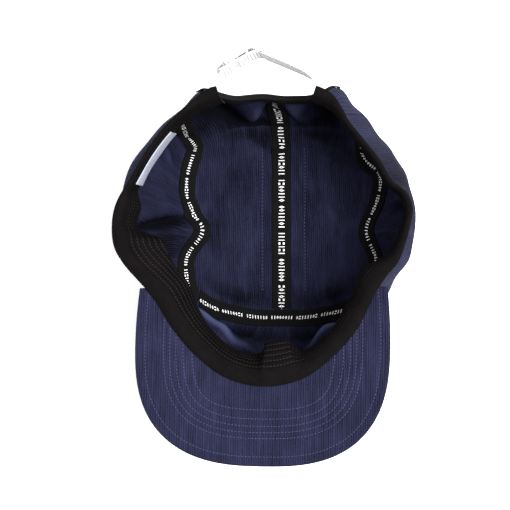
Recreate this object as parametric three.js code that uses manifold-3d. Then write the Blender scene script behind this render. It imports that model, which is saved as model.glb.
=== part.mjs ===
// A five-panel cap that lies on its crown with its opening up.
// Millimetres, +Z up, the peak towards -Y.
// The crown is a floor and a wall. The wall climbs from its foot, on the table, to the rim.
// Every place on it is an angle (0 at the front, 180 at the back, negative on the left) and a height t:
// 0 at the rim, 1 at the foot of the wall, and 2 at the middle of the floor.
import * as THREE from 'three';
import Module from 'manifold-3d';

const wasm = await Module();
wasm.setup();

// Driving dimensions
const overallLength = 271; // from the peak's front edge to the back of the strap
const axisY = 12; // where the crown's axis stands, behind the middle of the cap
const clothThickness = 1.2;
const seamGap = 0.4; // between pieces that are sewn to each other
const tapeGap = 0.65; // between a tape and the cloth it is sewn on
const tapeWidth = 13;
const tapeThickness = 1;
const bandThickness = 1.2;
const bandRise = 3; // how high its section pulls up over the rim
const bandOverhang = 0.6; // how far the sweatband's outer edge covers the seam of the rim
const bindingThickness = 0.8;
const bindingWidth = 6;
const bindingOuterWidth = 4;
const bindingEnd = 0.2; // height on the wall where its ends are tucked under the sweatband
const archWidth = 24; // angle of the back opening, to each side of the middle
const archDepth = 0.4; // how far down the wall the back opening reaches
const strapWidth = 20;
const strapThickness = 1.4;
const peakThickness = 3;
const peakHalfWidth = 82.2;
const peakMiddleX = -0.9;
const peakRoundness = 2.6; // exponent of its outline's curve
const peakSunk = 0.035; // height on the wall of its lower face
const peakFrontY = -overallLength / 2;
const peakWidestY = -57;
const peakEndY = -21;

// The wall's sections: the rim's and the foot's distance from the axis, how far the wall swells
// between them, and the share of the rim's height where it swells most.
const crownSections = [
  { angle: -180, rim: 94.5, foot: 76.5, belly: 1, swell: 0.6 },
  { angle: -168, rim: 98, foot: 78, belly: 2, swell: 0.62 },
  { angle: -161, rim: 100.8, foot: 81.5, belly: 4, swell: 0.68 },
  { angle: -155, rim: 99.2, foot: 84.5, belly: 17.2, swell: 0.8 },
  { angle: -147, rim: 92.8, foot: 88, belly: 24, swell: 0.8 },
  { angle: -138, rim: 90.6, foot: 88, belly: 26, swell: 0.8 },
  { angle: -128, rim: 91.2, foot: 82.5, belly: 25, swell: 0.8 },
  { angle: -118, rim: 92.3, foot: 77, belly: 24, swell: 0.8 },
  { angle: -111, rim: 94.6, foot: 74.5, belly: 17, swell: 0.8 },
  { angle: -102, rim: 98, foot: 71.5, belly: 3, swell: 0.65 },
  { angle: -94, rim: 98.5, foot: 70, belly: 2, swell: 0.6 },
  { angle: -86, rim: 97, foot: 70.3, belly: 2, swell: 0.6 },
  { angle: -80, rim: 93, foot: 71, belly: 2, swell: 0.6 },
  { angle: -70, rim: 85.5, foot: 72.2, belly: 2, swell: 0.6 },
  { angle: -60, rim: 81.4, foot: 74.5, belly: 2, swell: 0.6 },
  { angle: -45, rim: 83.5, foot: 69.5, belly: 2, swell: 0.6 },
  { angle: -30, rim: 88, foot: 62.5, belly: 2, swell: 0.6 },
  { angle: -15, rim: 93.8, foot: 58.5, belly: 2, swell: 0.6 },
  { angle: 0, rim: 95.8, foot: 56.5, belly: 2, swell: 0.6 },
  { angle: 15, rim: 93.8, foot: 58.5, belly: 2, swell: 0.6 },
  { angle: 30, rim: 88, foot: 62.5, belly: 2, swell: 0.6 },
  { angle: 45, rim: 83.5, foot: 69.5, belly: 2, swell: 0.6 },
  { angle: 60, rim: 79.4, foot: 73.5, belly: 3, swell: 0.6 },
  { angle: 71, rim: 81.5, foot: 71.8, belly: 7, swell: 0.6 },
  { angle: 80, rim: 87.4, foot: 71, belly: 12, swell: 0.6 },
  { angle: 87, rim: 90, foot: 70.2, belly: 12, swell: 0.6 },
  { angle: 94, rim: 93.2, foot: 70, belly: 10, swell: 0.6 },
  { angle: 101, rim: 96.3, foot: 71.3, belly: 6, swell: 0.6 },
  { angle: 107, rim: 94.6, foot: 73.5, belly: 9, swell: 0.6 },
  { angle: 113, rim: 89, foot: 77, belly: 18, swell: 0.6 },
  { angle: 123, rim: 88.2, foot: 84.5, belly: 12, swell: 0.6 },
  { angle: 133, rim: 88.2, foot: 86.5, belly: 10, swell: 0.6 },
  { angle: 143, rim: 90.8, foot: 88, belly: 13, swell: 0.65 },
  { angle: 148, rim: 95, foot: 87.5, belly: 12, swell: 0.7 },
  { angle: 154, rim: 100, foot: 84.5, belly: 16, swell: 0.72 },
  { angle: 161, rim: 101, foot: 81.5, belly: 3, swell: 0.63 },
  { angle: 168, rim: 98, foot: 78, belly: 1, swell: 0.6 },
  { angle: 180, rim: 94.5, foot: 76.5, belly: 1, swell: 0.6 },
];

// Dents in the wall: the angle and spread in degrees, the depth inwards, and the heights where each
// one starts, is deepest and ends. One that ends past 1 runs on into the floor.
const crownDents = [
  { angle: -95.5, spread: 13, depth: 14, start: 0.15, deepest: 0.9, end: 9 },
  { angle: 94, spread: 14, depth: 9.5, start: 0.15, deepest: 0.9, end: 9 },
  { angle: -163.5, spread: 6, depth: 4, start: 0.2, deepest: 0.42, end: 0.95 },
  { angle: 168, spread: 7, depth: 2.5, start: 0, deepest: 0.4, end: 0.9 },
];

// The sweatband's sections: how far its free edge reaches in from the rim and hangs below it,
// and how far in its shoulder stands.
const bandSections = [
  { angle: -162.5, reach: 9, drop: 17, shoulder: 10 },
  { angle: -157, reach: 8, drop: 22, shoulder: 9 },
  { angle: -152, reach: 5, drop: 24, shoulder: 7 },
  { angle: -146, reach: 3, drop: 25, shoulder: 5 },
  { angle: -138, reach: 2, drop: 26, shoulder: 4.9 },
  { angle: -110, reach: 2.4, drop: 26, shoulder: 4.9 },
  { angle: -103, reach: 10.5, drop: 25, shoulder: 9 },
  { angle: -93.5, reach: 12.5, drop: 24, shoulder: 10 },
  { angle: -88.5, reach: 31, drop: 7, shoulder: 14 },
  { angle: -79, reach: 28, drop: 7, shoulder: 14 },
  { angle: -69, reach: 22.5, drop: 14, shoulder: 13 },
  { angle: -45, reach: 18.5, drop: 19, shoulder: 13 },
  { angle: -32, reach: 15.5, drop: 20, shoulder: 12 },
  { angle: -12, reach: 17, drop: 20, shoulder: 12 },
  { angle: -3.5, reach: 19, drop: 18, shoulder: 12 },
  { angle: 0, reach: 27, drop: 9, shoulder: 14 },
  { angle: 12, reach: 25, drop: 9, shoulder: 14 },
  { angle: 15.5, reach: 16, drop: 19, shoulder: 12 },
  { angle: 24, reach: 13.5, drop: 20, shoulder: 12 },
  { angle: 35, reach: 13.5, drop: 20, shoulder: 12 },
  { angle: 45, reach: 15, drop: 20, shoulder: 12 },
  { angle: 56, reach: 12.5, drop: 20, shoulder: 10 },
  { angle: 66, reach: 14, drop: 17, shoulder: 11 },
  { angle: 72, reach: 15.5, drop: 13, shoulder: 11 },
  { angle: 78, reach: 12, drop: 18, shoulder: 10 },
  { angle: 84, reach: 8, drop: 24, shoulder: 7 },
  { angle: 96, reach: 6.5, drop: 25, shoulder: 5.5 },
  { angle: 108, reach: 5, drop: 25.5, shoulder: 5 },
  { angle: 140, reach: 4.3, drop: 25.5, shoulder: 4.8 },
  { angle: 147, reach: 5, drop: 25, shoulder: 6 },
  { angle: 154, reach: 8, drop: 23, shoulder: 9 },
  { angle: 160.5, reach: 9, drop: 19, shoulder: 10 },
];

// Shape of the wall's section, and of the floor's turned-up border
const wallFlare = THREE.MathUtils.degToRad(29);
const wallHandle = 20;
const footHeight = 5;
const flatFloorShare = 0.72;

// Seams: angles at the rim and at the foot
const frontSeam = { rim: 60, foot: 55 };
const backSeam = { rim: 146, foot: 136 };

const clamp01 = (x) => THREE.MathUtils.clamp(x, 0, 1);
const lerp = THREE.MathUtils.lerp;
const smooth = (x) => THREE.MathUtils.smoothstep(x, 0, 1);
const toDegrees = THREE.MathUtils.radToDeg;

// An angle as -180 to 180, and as its distance from the front.
const signedAngle = (angle) => THREE.MathUtils.euclideanModulo(angle + 180, 360) - 180;
const fromFront = (angle) => Math.abs(signedAngle(angle));

// A smooth curve through one column of a table, level at both ends.
function along(rows, name, angle) {
  const last = rows.length - 1;
  let i = rows.findIndex((row, k) => k < last && angle <= rows[k + 1].angle);
  if (i < 0) i = last - 1;
  const slope = (k) => (k <= 0 || k >= last ? 0
    : (rows[k + 1][name] - rows[k - 1][name]) / (rows[k + 1].angle - rows[k - 1].angle));
  const span = rows[i + 1].angle - rows[i].angle;
  const u = clamp01((angle - rows[i].angle) / span);
  const rise = smooth(u);
  return rows[i][name] * (1 - rise) + rows[i + 1][name] * rise
    + span * (slope(i) * u * (1 - u) ** 2 - slope(i + 1) * u * u * (1 - u));
}

function polar(angle, radius, height) {
  const a = THREE.MathUtils.degToRad(angle);
  return new THREE.Vector3(radius * Math.sin(a), axisY - radius * Math.cos(a), height);
}

// The peak's upper face is bent across its width and drops a little towards the crown.
function peakHeight(x, y) {
  return 91 + 12 * (x / 80) ** 2 - 0.13 * (y + 84);
}

function rimRadius(angle) {
  return along(crownSections, 'rim', signedAngle(angle));
}

function rimHeight(angle) {
  const point = polar(angle, rimRadius(angle), 0);
  const behindPeak = THREE.MathUtils.smoothstep(fromFront(angle), 50, 100);
  return lerp(peakHeight(point.x, point.y), 96.5, behindPeak);
}

function dentDepth(angle, t) {
  let sum = 0;
  for (const dent of crownDents) {
    const off = signedAngle(angle - dent.angle);
    const grown = THREE.MathUtils.smoothstep(t, dent.start, dent.deepest);
    const faded = THREE.MathUtils.smoothstep(t, dent.deepest, dent.end);
    sum += dent.depth * Math.exp(-((off / dent.spread) ** 2)) * grown * (1 - faded);
  }
  return sum;
}

function footRadius(angle) {
  return along(crownSections, 'foot', signedAngle(angle)) - dentDepth(angle, 1);
}

// A point of the crown's outer face.
function crownPoint(angle, t) {
  if (t > 1) {
    const share = 2 - t;
    const rise = clamp01((share - flatFloorShare) / (1 - flatFloorShare));
    return polar(angle, footRadius(angle) * share, footHeight * rise * rise);
  }
  const rim = rimRadius(angle);
  const top = rimHeight(angle);
  const foot = along(crownSections, 'foot', signedAngle(angle));
  const belly = along(crownSections, 'belly', signedAngle(angle));
  const bezier = (a, b, c, d) =>
    (1 - t) ** 3 * a + 3 * (1 - t) ** 2 * t * b + 3 * (1 - t) * t * t * c + t ** 3 * d;
  const radius = bezier(rim, rim + belly, foot + wallHandle * Math.cos(wallFlare), foot);
  const height = bezier(top, top * along(crownSections, 'swell', signedAngle(angle)),
    footHeight + wallHandle * Math.sin(wallFlare), footHeight);
  return polar(angle, radius - dentDepth(angle, t), height);
}

// The two directions of the crown's face, per degree and per unit of t.
function crownSlopes(angle, t) {
  const turn = 0.5;
  const climb = 0.02;
  const low = Math.max(0, t - climb);
  const high = Math.min(2, t + climb);
  return {
    across: crownPoint(angle + turn, t).sub(crownPoint(angle - turn, t)).divideScalar(2 * turn),
    down: crownPoint(angle, high).sub(crownPoint(angle, low)).divideScalar(high - low),
  };
}

// The inward normal: up on the floor, towards the axis on the wall.
function crownNormal(angle, t) {
  if (2 - t < flatFloorShare - 0.03) return new THREE.Vector3(0, 0, 1);
  const { across, down } = crownSlopes(angle, t);
  return across.cross(down).normalize();
}

// A place inside the crown's cloth or on its lining side, depth mm in from the outer face.
function inward(angle, t, depth) {
  return crownPoint(angle, t).addScaledVector(crownNormal(angle, t), depth);
}

function onFloor(x, y, depth) {
  const radius = Math.hypot(x, y - axisY);
  const angle = toDegrees(Math.atan2(x, axisY - y));
  return inward(angle, 2 - radius / footRadius(angle), depth);
}

// Turns a closed triangle mesh so that its faces point out.
function facingOut(positions, index) {
  let volume = 0;
  const p = (i) => new THREE.Vector3().fromArray(positions, 3 * i);
  for (let i = 0; i < index.length; i += 3) {
    volume += p(index[i]).dot(p(index[i + 1]).cross(p(index[i + 2])));
  }
  if (volume < 0) index.reverse();
  const geometry = new THREE.BufferGeometry();
  geometry.setAttribute('position', new THREE.Float32BufferAttribute(positions, 3));
  geometry.setIndex(index);
  geometry.computeVertexNormals();
  return geometry;
}

// A sheet with thickness: pointAt(i, j, side) gives both its faces, side 0 and 1, as grids of points.
function sheet(columns, rows, pointAt) {
  const positions = [];
  const index = [];
  for (const side of [0, 1]) {
    for (let j = 0; j <= rows; j++) {
      for (let i = 0; i <= columns; i++) positions.push(...pointAt(i, j, side).toArray());
    }
  }
  const id = (i, j, side) => (side * (rows + 1) + j) * (columns + 1) + i;
  const quad = (a, b, c, d) => index.push(a, b, c, a, c, d);
  for (let j = 0; j < rows; j++) {
    for (let i = 0; i < columns; i++) {
      quad(id(i, j, 0), id(i + 1, j, 0), id(i + 1, j + 1, 0), id(i, j + 1, 0));
      quad(id(i, j, 1), id(i, j + 1, 1), id(i + 1, j + 1, 1), id(i + 1, j, 1));
    }
  }
  for (let i = 0; i < columns; i++) {
    quad(id(i, 0, 0), id(i, 0, 1), id(i + 1, 0, 1), id(i + 1, 0, 0));
    quad(id(i, rows, 0), id(i + 1, rows, 0), id(i + 1, rows, 1), id(i, rows, 1));
  }
  for (let j = 0; j < rows; j++) {
    quad(id(0, j, 0), id(0, j + 1, 0), id(0, j + 1, 1), id(0, j, 1));
    quad(id(columns, j, 0), id(columns, j, 1), id(columns, j + 1, 1), id(columns, j + 1, 0));
  }
  return facingOut(positions, index);
}

// A bar swept through loops of points that all have the same flat section.
function sweep(section, loops) {
  const positions = loops.flat().flatMap((point) => point.toArray());
  const index = [];
  const n = section.length;
  for (let k = 0; k + 1 < loops.length; k++) {
    for (let i = 0; i < n; i++) {
      const a = k * n + i;
      const b = k * n + ((i + 1) % n);
      index.push(a, b, b + n, a, b + n, a + n);
    }
  }
  const last = (loops.length - 1) * n;
  for (const [a, b, c] of THREE.ShapeUtils.triangulateShape(section, [])) {
    index.push(c, b, a, last + a, last + b, last + c);
  }
  return facingOut(positions, index);
}

// Columns across half the crown, closer where the back opening's edge is steep, then to the back seam.
const archColumns = 9;
const cornerColumns = 4;
const archShare = archWidth / (180 - backSeam.rim);
const columnShares = [];
for (let k = 0; k <= archColumns; k++) {
  columnShares.push(archShare * Math.sin((Math.PI / 2) * (k / archColumns)));
}
for (let k = 1; k <= cornerColumns; k++) columnShares.push(lerp(archShare, 1, k / cornerColumns));
const halfColumns = columnShares.length - 1;
const sideColumns = 20;
const wallHeights = [0, 0.1, 0.22, 0.36, 0.52, 0.67, 0.8, 0.89, 1];
const wallRows = wallHeights.length - 1;

const frontSeamAngle = (t) => lerp(frontSeam.rim, frontSeam.foot, t);
const backSeamAngle = (t) => lerp(backSeam.rim, backSeam.foot, t);
const gapAngle = (angle, t) => toDegrees(seamGap / 2 / Math.hypot(
  crownPoint(angle, t).x, crownPoint(angle, t).y - axisY));
const footGap = seamGap / 2 / (3 * wallHandle); // half a seam gap, in t
const belowFoot = (t) => Math.min(t, 1 - footGap);

// The back opening's edge: its height where a share of the way to the back seam is passed.
function archEdge(share) {
  return share < archShare ? archDepth * Math.cbrt(1 - (share / archShare) ** 3) : 0;
}

function frontPanel() {
  return sheet(2 * halfColumns, wallRows, (i, j, side) => {
    const k = i - halfColumns;
    const t = belowFoot(wallHeights[j]);
    const seam = frontSeamAngle(t);
    const edge = seam - gapAngle(seam, t);
    return inward(Math.sign(k) * edge * columnShares[Math.abs(k)], t, side * clothThickness);
  });
}

function sidePanel(hand) {
  return sheet(sideColumns, wallRows, (i, j, side) => {
    const t = belowFoot(wallHeights[j]);
    const front = frontSeamAngle(t) + gapAngle(frontSeamAngle(t), t);
    const back = backSeamAngle(t) - gapAngle(backSeamAngle(t), t);
    return inward(hand * lerp(front, back, i / sideColumns), t, side * clothThickness);
  });
}

// Half the floor, stretched between the front seam, the side seam, the back of the foot and the middle.
function floorPlace(hand, share, b) {
  const footAt = (angle) => crownPoint(hand * angle, 1 + footGap);
  const front = footAt(frontSeam.foot * share);
  const back = footAt(lerp(180, backSeam.foot, share));
  const side = footAt(lerp(frontSeam.foot, backSeam.foot, b));
  const middle = footAt(0).lerp(footAt(180), b);
  const blend = (name) => (1 - b) * front[name] + b * back[name]
    + (1 - share) * middle[name] + share * side[name]
    - (1 - share) * ((1 - b) * footAt(0)[name] + b * footAt(180)[name])
    - share * ((1 - b) * footAt(frontSeam.foot)[name] + b * footAt(backSeam.foot)[name]);
  return { x: blend('x'), y: blend('y') };
}

// A top panel covers half the floor, then climbs the back wall to the opening's edge.
function topPanel(hand) {
  return sheet(halfColumns, sideColumns + wallRows, (i, j, side) => {
    const share = columnShares[i];
    const centreGap = (1 - share) * seamGap / 2;
    if (j <= sideColumns) {
      const { x, y } = floorPlace(hand, share, j / sideColumns);
      return onFloor(x + hand * centreGap, y, side * clothThickness);
    }
    const climbed = 1 - wallHeights[wallRows - (j - sideColumns)];
    const t = 1 - climbed * (1 - archEdge(share));
    const back = backSeamAngle(t) + gapAngle(backSeamAngle(t), t);
    const angle = lerp(180 - toDegrees(centreGap / footRadius(180)), back, share);
    return inward(hand * angle, t, side * clothThickness);
  });
}

// How far out the peak's edge is from the middle of its straight back, in a direction from the front.
function peakReach(direction) {
  const sin = Math.sin(direction);
  const cos = Math.cos(direction);
  const inside = (reach) => {
    const x = Math.abs(reach * sin);
    const y = peakEndY - reach * cos;
    if (y > peakWidestY) {
      return x < peakHalfWidth - 2 * ((y - peakWidestY) / (peakEndY - peakWidestY)) ** 2;
    }
    const depth = (y - peakWidestY) / (peakFrontY - peakWidestY);
    return (x / peakHalfWidth) ** peakRoundness + depth ** peakRoundness < 1;
  };
  let low = 0;
  let high = overallLength;
  for (let k = 0; k < 40; k++) {
    const middle = (low + high) / 2;
    if (inside(middle)) low = middle;
    else high = middle;
  }
  return low;
}

function peak() {
  const columns = 36;
  const rows = 6;
  const endAngle = 66.5;
  return sheet(columns, rows, (i, j, side) => {
    const angle = endAngle * (2 * (i / columns) - 1);
    const wall = crownPoint(angle, side * peakSunk);
    const inner = polar(angle, Math.hypot(wall.x, wall.y - axisY) + seamGap, 0);
    const direction = Math.atan2(inner.x - peakMiddleX, peakEndY - inner.y);
    const reach = peakReach(direction);
    const outer = new THREE.Vector3(
      peakMiddleX + reach * Math.sin(direction),
      peakEndY - reach * Math.cos(direction),
      0,
    );
    const place = inner.lerp(outer, j / rows);
    const edge = j === rows ? 0.5 : 0; // the sewn edge is thinner than the stiffened middle
    const height = peakHeight(place.x, place.y) - edge - side * (peakThickness - 2 * edge);
    return place.setZ(height);
  });
}

// Walks over the crown's lining side from a place, distance mm in a direction that follows the face.
function walk(place, direction, distance) {
  const steps = 4;
  let { angle, t } = place;
  for (let k = 0; k < steps; k++) {
    const { across, down } = crownSlopes(angle, t);
    const aa = across.dot(across);
    const dd = down.dot(down);
    const ad = across.dot(down);
    const da = direction.dot(across) * (distance / steps);
    const db = direction.dot(down) * (distance / steps);
    const det = aa * dd - ad * ad;
    angle += (da * dd - db * ad) / det;
    t += (db * aa - da * ad) / det;
  }
  return { angle, t };
}

const tapeBottom = clothThickness + tapeGap;

// A tape along a path of places on the crown, laid flat on the lining side. Its edges can be cut
// askew: the first side is longer at both ends, by slant degrees.
function tapeOn(path, columns, slant = 0) {
  const rows = path.length - 1;
  const middle = path.map(({ angle, t }) => crownPoint(angle, t));
  return sheet(columns, rows, (i, j, side) => {
    const { angle, t } = path[j];
    const forward = middle[Math.min(rows, j + 1)].clone().sub(middle[Math.max(0, j - 1)]);
    const sideways = forward.cross(crownNormal(angle, t)).normalize();
    const off = i / columns - 0.5;
    const place = walk(path[j], sideways, tapeWidth * off);
    const askew = slant * off * (1 - 2 * (j / rows));
    return inward(place.angle + askew, place.t, tapeBottom + side * tapeThickness);
  });
}

// From the rim down the front seam, round the side seam, and up the back seam to the rim,
// with round corners.
function sideTape(hand) {
  const corner = 7; // degrees from a corner where the tape starts to turn
  const turnHeight = 0.86;
  const topHeight = 0.06;
  const seamRows = 6;
  const path = [];
  for (let k = 0; k <= seamRows; k++) {
    const t = lerp(topHeight, turnHeight, k / seamRows);
    path.push({ angle: frontSeamAngle(t), t });
  }
  const bend = (from, to) => {
    for (const turn of [0.3, 0.6, 0.9].map((x) => x * Math.PI / 2)) {
      path.push({
        angle: lerp(from.angle, to.angle, from.t < to.t ? 1 - Math.cos(turn) : Math.sin(turn)),
        t: lerp(from.t, to.t, from.t < to.t ? Math.sin(turn) : 1 - Math.cos(turn)),
      });
    }
  };
  const first = frontSeam.foot + corner;
  const last = backSeam.foot - corner;
  bend({ angle: frontSeamAngle(turnHeight), t: turnHeight }, { angle: first, t: 1 });
  for (let k = 0; k <= sideColumns; k++) {
    path.push({ angle: lerp(first, last, k / sideColumns), t: 1 });
  }
  bend({ angle: last, t: 1 }, { angle: backSeamAngle(turnHeight), t: turnHeight });
  for (let k = 0; k <= seamRows; k++) {
    const t = lerp(turnHeight, topHeight, k / seamRows);
    path.push({ angle: backSeamAngle(t), t });
  }
  return tapeOn(path.map(({ angle, t }) => ({ angle: hand * angle, t })), 4);
}

function frontTape() {
  const path = [];
  const rows = 18;
  const end = frontSeam.foot - 3.4; // where the side tapes pass
  for (let k = 0; k <= rows; k++) path.push({ angle: lerp(-end, end, k / rows), t: 1 });
  return tapeOn(path, 4, 3.4);
}

// The centre tape runs from the front tape along the floor and up the back wall to the binding.
function centreTape() {
  const floorRows = 18;
  const climbRows = 6;
  const start = crownPoint(0, 1).y + tapeWidth / 2 + seamGap;
  const end = crownPoint(180, 1).y;
  const top = archDepth + 0.075; // clear of the binding's inner leg
  return sheet(2, floorRows + climbRows, (i, j, side) => {
    const x = tapeWidth * (i / 2 - 0.5);
    const depth = tapeBottom + side * tapeThickness;
    if (j <= floorRows) return onFloor(x, lerp(start, end, j / floorRows), depth);
    const t = lerp(1, top, (j - floorRows) / climbRows);
    const radius = axisY - crownPoint(180, t).y;
    return inward(180 + toDegrees(x / radius), t, depth);
  });
}

// A folded tape round the edge of the back opening.
function archBinding() {
  const outer = -tapeGap - bindingThickness;
  const innerFace = clothThickness + tapeGap;
  // x: into the cloth from its edge, y: depth from the outer face
  const section = [
    [outer, outer], [bindingOuterWidth, outer], [bindingOuterWidth, -tapeGap], [-tapeGap, -tapeGap],
    [-tapeGap, innerFace], [bindingWidth, innerFace],
    [bindingWidth, innerFace + bindingThickness], [outer, innerFace + bindingThickness],
  ].map(([x, y]) => new THREE.Vector2(x, y));
  const lastShare = archShare * Math.cbrt(1 - (bindingEnd / archDepth) ** 3);
  const shares = [...columnShares.filter((share) => share < lastShare), lastShare];
  const half = shares.map((share) => {
    const t = archEdge(share);
    return { offset: share * (180 - backSeamAngle(t)), t };
  });
  const places = [
    ...half.slice(1).reverse().map(({ offset, t }) => ({ angle: 180 - offset, t })),
    ...half.map(({ offset, t }) => ({ angle: 180 + offset, t })),
  ];
  const points = places.map(({ angle, t }) => crownPoint(angle, t));
  const loops = places.map(({ angle, t }, k) => {
    const before = points[Math.max(0, k - 1)];
    const after = points[Math.min(points.length - 1, k + 1)];
    const normal = crownNormal(angle, t);
    const into = normal.clone().cross(after.clone().sub(before)).normalize();
    return section.map(({ x, y }) => {
      const place = walk({ angle, t }, into, x);
      return inward(place.angle, place.t, y);
    });
  });
  return sweep(section, loops);
}

// A standing ribbon of webbing along a plan path. Each place has a lean: how far the webbing slopes
// along x and y for each millimetre up.
const ribbonSection = [[0, 0], [1, 0], [1, 1], [0, 1]].map(([x, y]) => new THREE.Vector2(x, y));

function ribbon(path) {
  const loops = path.map((place, k) => {
    const before = path[Math.max(0, k - 1)];
    const after = path[Math.min(path.length - 1, k + 1)];
    const normal = new THREE.Vector2(before.y - after.y, after.x - before.x).normalize();
    return ribbonSection.map((corner) => {
      const off = (corner.x - 0.5) * strapThickness;
      const up = (corner.y - 0.5) * strapWidth;
      return new THREE.Vector3(
        place.x + normal.x * off + place.lean.x * up,
        place.y + normal.y * off + place.lean.y * up,
        strapMiddleHeight + up,
      );
    });
  });
  return sweep(ribbonSection, loops);
}

const strapLean = 0.13;
const strapMiddleHeight = 82;
const strapDepth = 4.6; // of the webbing's middle, in from the crown's outer face
const slide = { x: -18.5, y: 126.7, turn: 30, length: 17, bar: 2, rail: 2.2, thickness: 2 };

// The height t where the wall is height mm above the table.
function wallAt(angle, height) {
  let low = 0;
  let high = 1;
  for (let k = 0; k < 30; k++) {
    const middle = (low + high) / 2;
    if (crownPoint(angle, middle).z > height) low = middle;
    else high = middle;
  }
  return low;
}

// A place of the webbing inside the corner of the back opening, where it lies along the wall.
function cornerPlace(angle, depth) {
  const top = inward(angle, wallAt(angle, strapMiddleHeight + strapWidth / 2), depth);
  const bottom = inward(angle, wallAt(angle, strapMiddleHeight - strapWidth / 2), depth);
  const middle = top.clone().add(bottom).divideScalar(2);
  const lean = top.sub(bottom).divideScalar(strapWidth);
  return { x: middle.x, y: middle.y, lean };
}

const freePlace = (x, y, lean, leanX = 0) => ({ x, y, lean: new THREE.Vector2(leanX, lean) });

// A place beside the slide: along it, towards the right, and out from it, away from the cap.
function besideSlide(alongIt, out) {
  const a = THREE.MathUtils.degToRad(slide.turn);
  return freePlace(
    slide.x + alongIt * Math.cos(a) - out * Math.sin(a),
    slide.y + alongIt * Math.sin(a) + out * Math.cos(a),
    strapLean,
  );
}

const loopOut = slide.thickness / 2 + seamGap + strapThickness / 2;

// A half turn of webbing round one of the slide's bars, from outside the slide to inside it.
function halfTurn(centre, hand) {
  const reach = slide.bar / 2 + seamGap + strapThickness / 2 + 0.3;
  return [0.1, 0.3, 0.5, 0.7, 0.9].map((share) => {
    const turn = share * Math.PI;
    return besideSlide(centre + hand * reach * Math.sin(turn), (loopOut + 0.3) * Math.cos(turn));
  });
}

// The long webbing comes from the right corner, over the slide's right bar and back round its middle bar.
function strapRight() {
  return ribbon([
    cornerPlace(149, strapDepth), cornerPlace(154, strapDepth), cornerPlace(158.5, strapDepth),
    freePlace(34, 103.6, 0, 0.08), freePlace(34.2, 108, 0.02), freePlace(31, 113, 0.05),
    freePlace(26, 116.8, 0.1), freePlace(10, 124.2, strapLean), freePlace(-1, 129, strapLean),
    besideSlide(12.2, 0.2), besideSlide(9.6, loopOut + 0.2), besideSlide(2, loopOut + 0.1),
    ...halfTurn(0, -1),
    besideSlide(2, -loopOut - 0.1), besideSlide(8, -loopOut - 0.2), besideSlide(13, -loopOut - 1.4),
    besideSlide(18, -loopOut - 5.5),
  ]);
}

// The short webbing is sewn to the left corner and looped round the slide's left bar.
function strapLeft() {
  const leftBar = (slide.bar - slide.length) / 2;
  return ribbon([
    cornerPlace(-149, strapDepth), cornerPlace(-154, strapDepth), cornerPlace(-158.5, strapDepth),
    freePlace(-34.2, 103.6, 0, -0.08), freePlace(-35.4, 107.2, 0.02), freePlace(-37, 111.2, 0.05),
    freePlace(-35, 115.6, 0.1),
    besideSlide(leftBar - 5, loopOut + 1), besideSlide(leftBar - 1, loopOut + 0.1),
    ...halfTurn(leftBar, 1),
    besideSlide(leftBar - 1, -loopOut - 0.1), besideSlide(leftBar - 6, -loopOut + 0.3),
  ]);
}

function slideBuckle() {
  const height = strapWidth + 2 * (seamGap + slide.rail);
  const slotHeight = height - 2 * slide.rail;
  const slotWidth = (slide.length - 3 * slide.bar) / 2;
  const box = (width, tall, thick) => wasm.Manifold.cube([width, tall, thick], true);
  let solid = box(slide.length, height, slide.thickness);
  for (const hand of [-1, 1]) {
    const slot = box(slotWidth, slotHeight, 2 * slide.thickness);
    solid = solid.subtract(slot.translate([hand * (slotWidth + slide.bar) / 2, 0, 0]));
  }
  const mesh = solid.getMesh();
  const geometry = new THREE.BufferGeometry();
  geometry.setAttribute('position', new THREE.Float32BufferAttribute(mesh.vertProperties, 3));
  geometry.setIndex([...mesh.triVerts]);
  geometry.computeVertexNormals();
  // length along the slide, width up along the webbing's lean, thickness towards the cap
  const a = THREE.MathUtils.degToRad(slide.turn);
  const lengthwise = new THREE.Vector3(Math.cos(a), Math.sin(a), 0);
  const upwards = new THREE.Vector3(0, strapLean, 1);
  const inwards = new THREE.Vector3(Math.sin(a), -Math.cos(a), 0);
  geometry.applyMatrix4(new THREE.Matrix4().makeBasis(lengthwise, upwards, inwards));
  geometry.translate(slide.x, slide.y, strapMiddleHeight);
  return geometry;
}

// The middle of the sweatband's thickness: its distance from the axis, and its height.
function bandMiddle(angle, v) {
  const shoulder = along(bandSections, 'shoulder', angle);
  const reach = along(bandSections, 'reach', angle);
  const drop = along(bandSections, 'drop', angle);
  const bend = (a, b, c) => (1 - v) ** 2 * a + 2 * (1 - v) * v * b + v * v * c;
  return new THREE.Vector2(
    rimRadius(angle) - bend(-bandOverhang, shoulder, reach),
    rimHeight(angle) + seamGap + bandThickness / 2 + bend(0, bandRise, -drop),
  );
}

// A place beside the sweatband, depth mm from the middle of its thickness, towards the axis.
function besideBand(angle, v, depth) {
  const step = 0.01;
  const middle = bandMiddle(angle, v);
  const slope = bandMiddle(angle, v + step).sub(bandMiddle(angle, v - step)).normalize();
  return polar(angle, middle.x + slope.y * depth, middle.y - slope.x * depth);
}

// The sweatband lies over the rim, turns in over its shoulder and hangs down to its free edge.
function sweatband() {
  const columns = 78;
  const rows = 5;
  return sheet(columns, rows, (i, j, side) => {
    const angle = lerp(bandSections[0].angle, bandSections.at(-1).angle, i / columns);
    return besideBand(angle, j / rows, (side - 0.5) * bandThickness);
  });
}

// The care label is sewn flat on the sweatband.
function careLabel() {
  const label = { from: -139, to: -112, top: 0.42, bottom: 0.97, thickness: 0.8 };
  const columns = 10;
  const rows = 4;
  const below = bandThickness / 2 + seamGap;
  return sheet(columns, rows, (i, j, side) => {
    const angle = lerp(label.from, label.to, i / columns);
    const v = lerp(label.top, label.bottom, j / rows);
    return besideBand(angle, v, below + side * label.thickness);
  });
}

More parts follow.
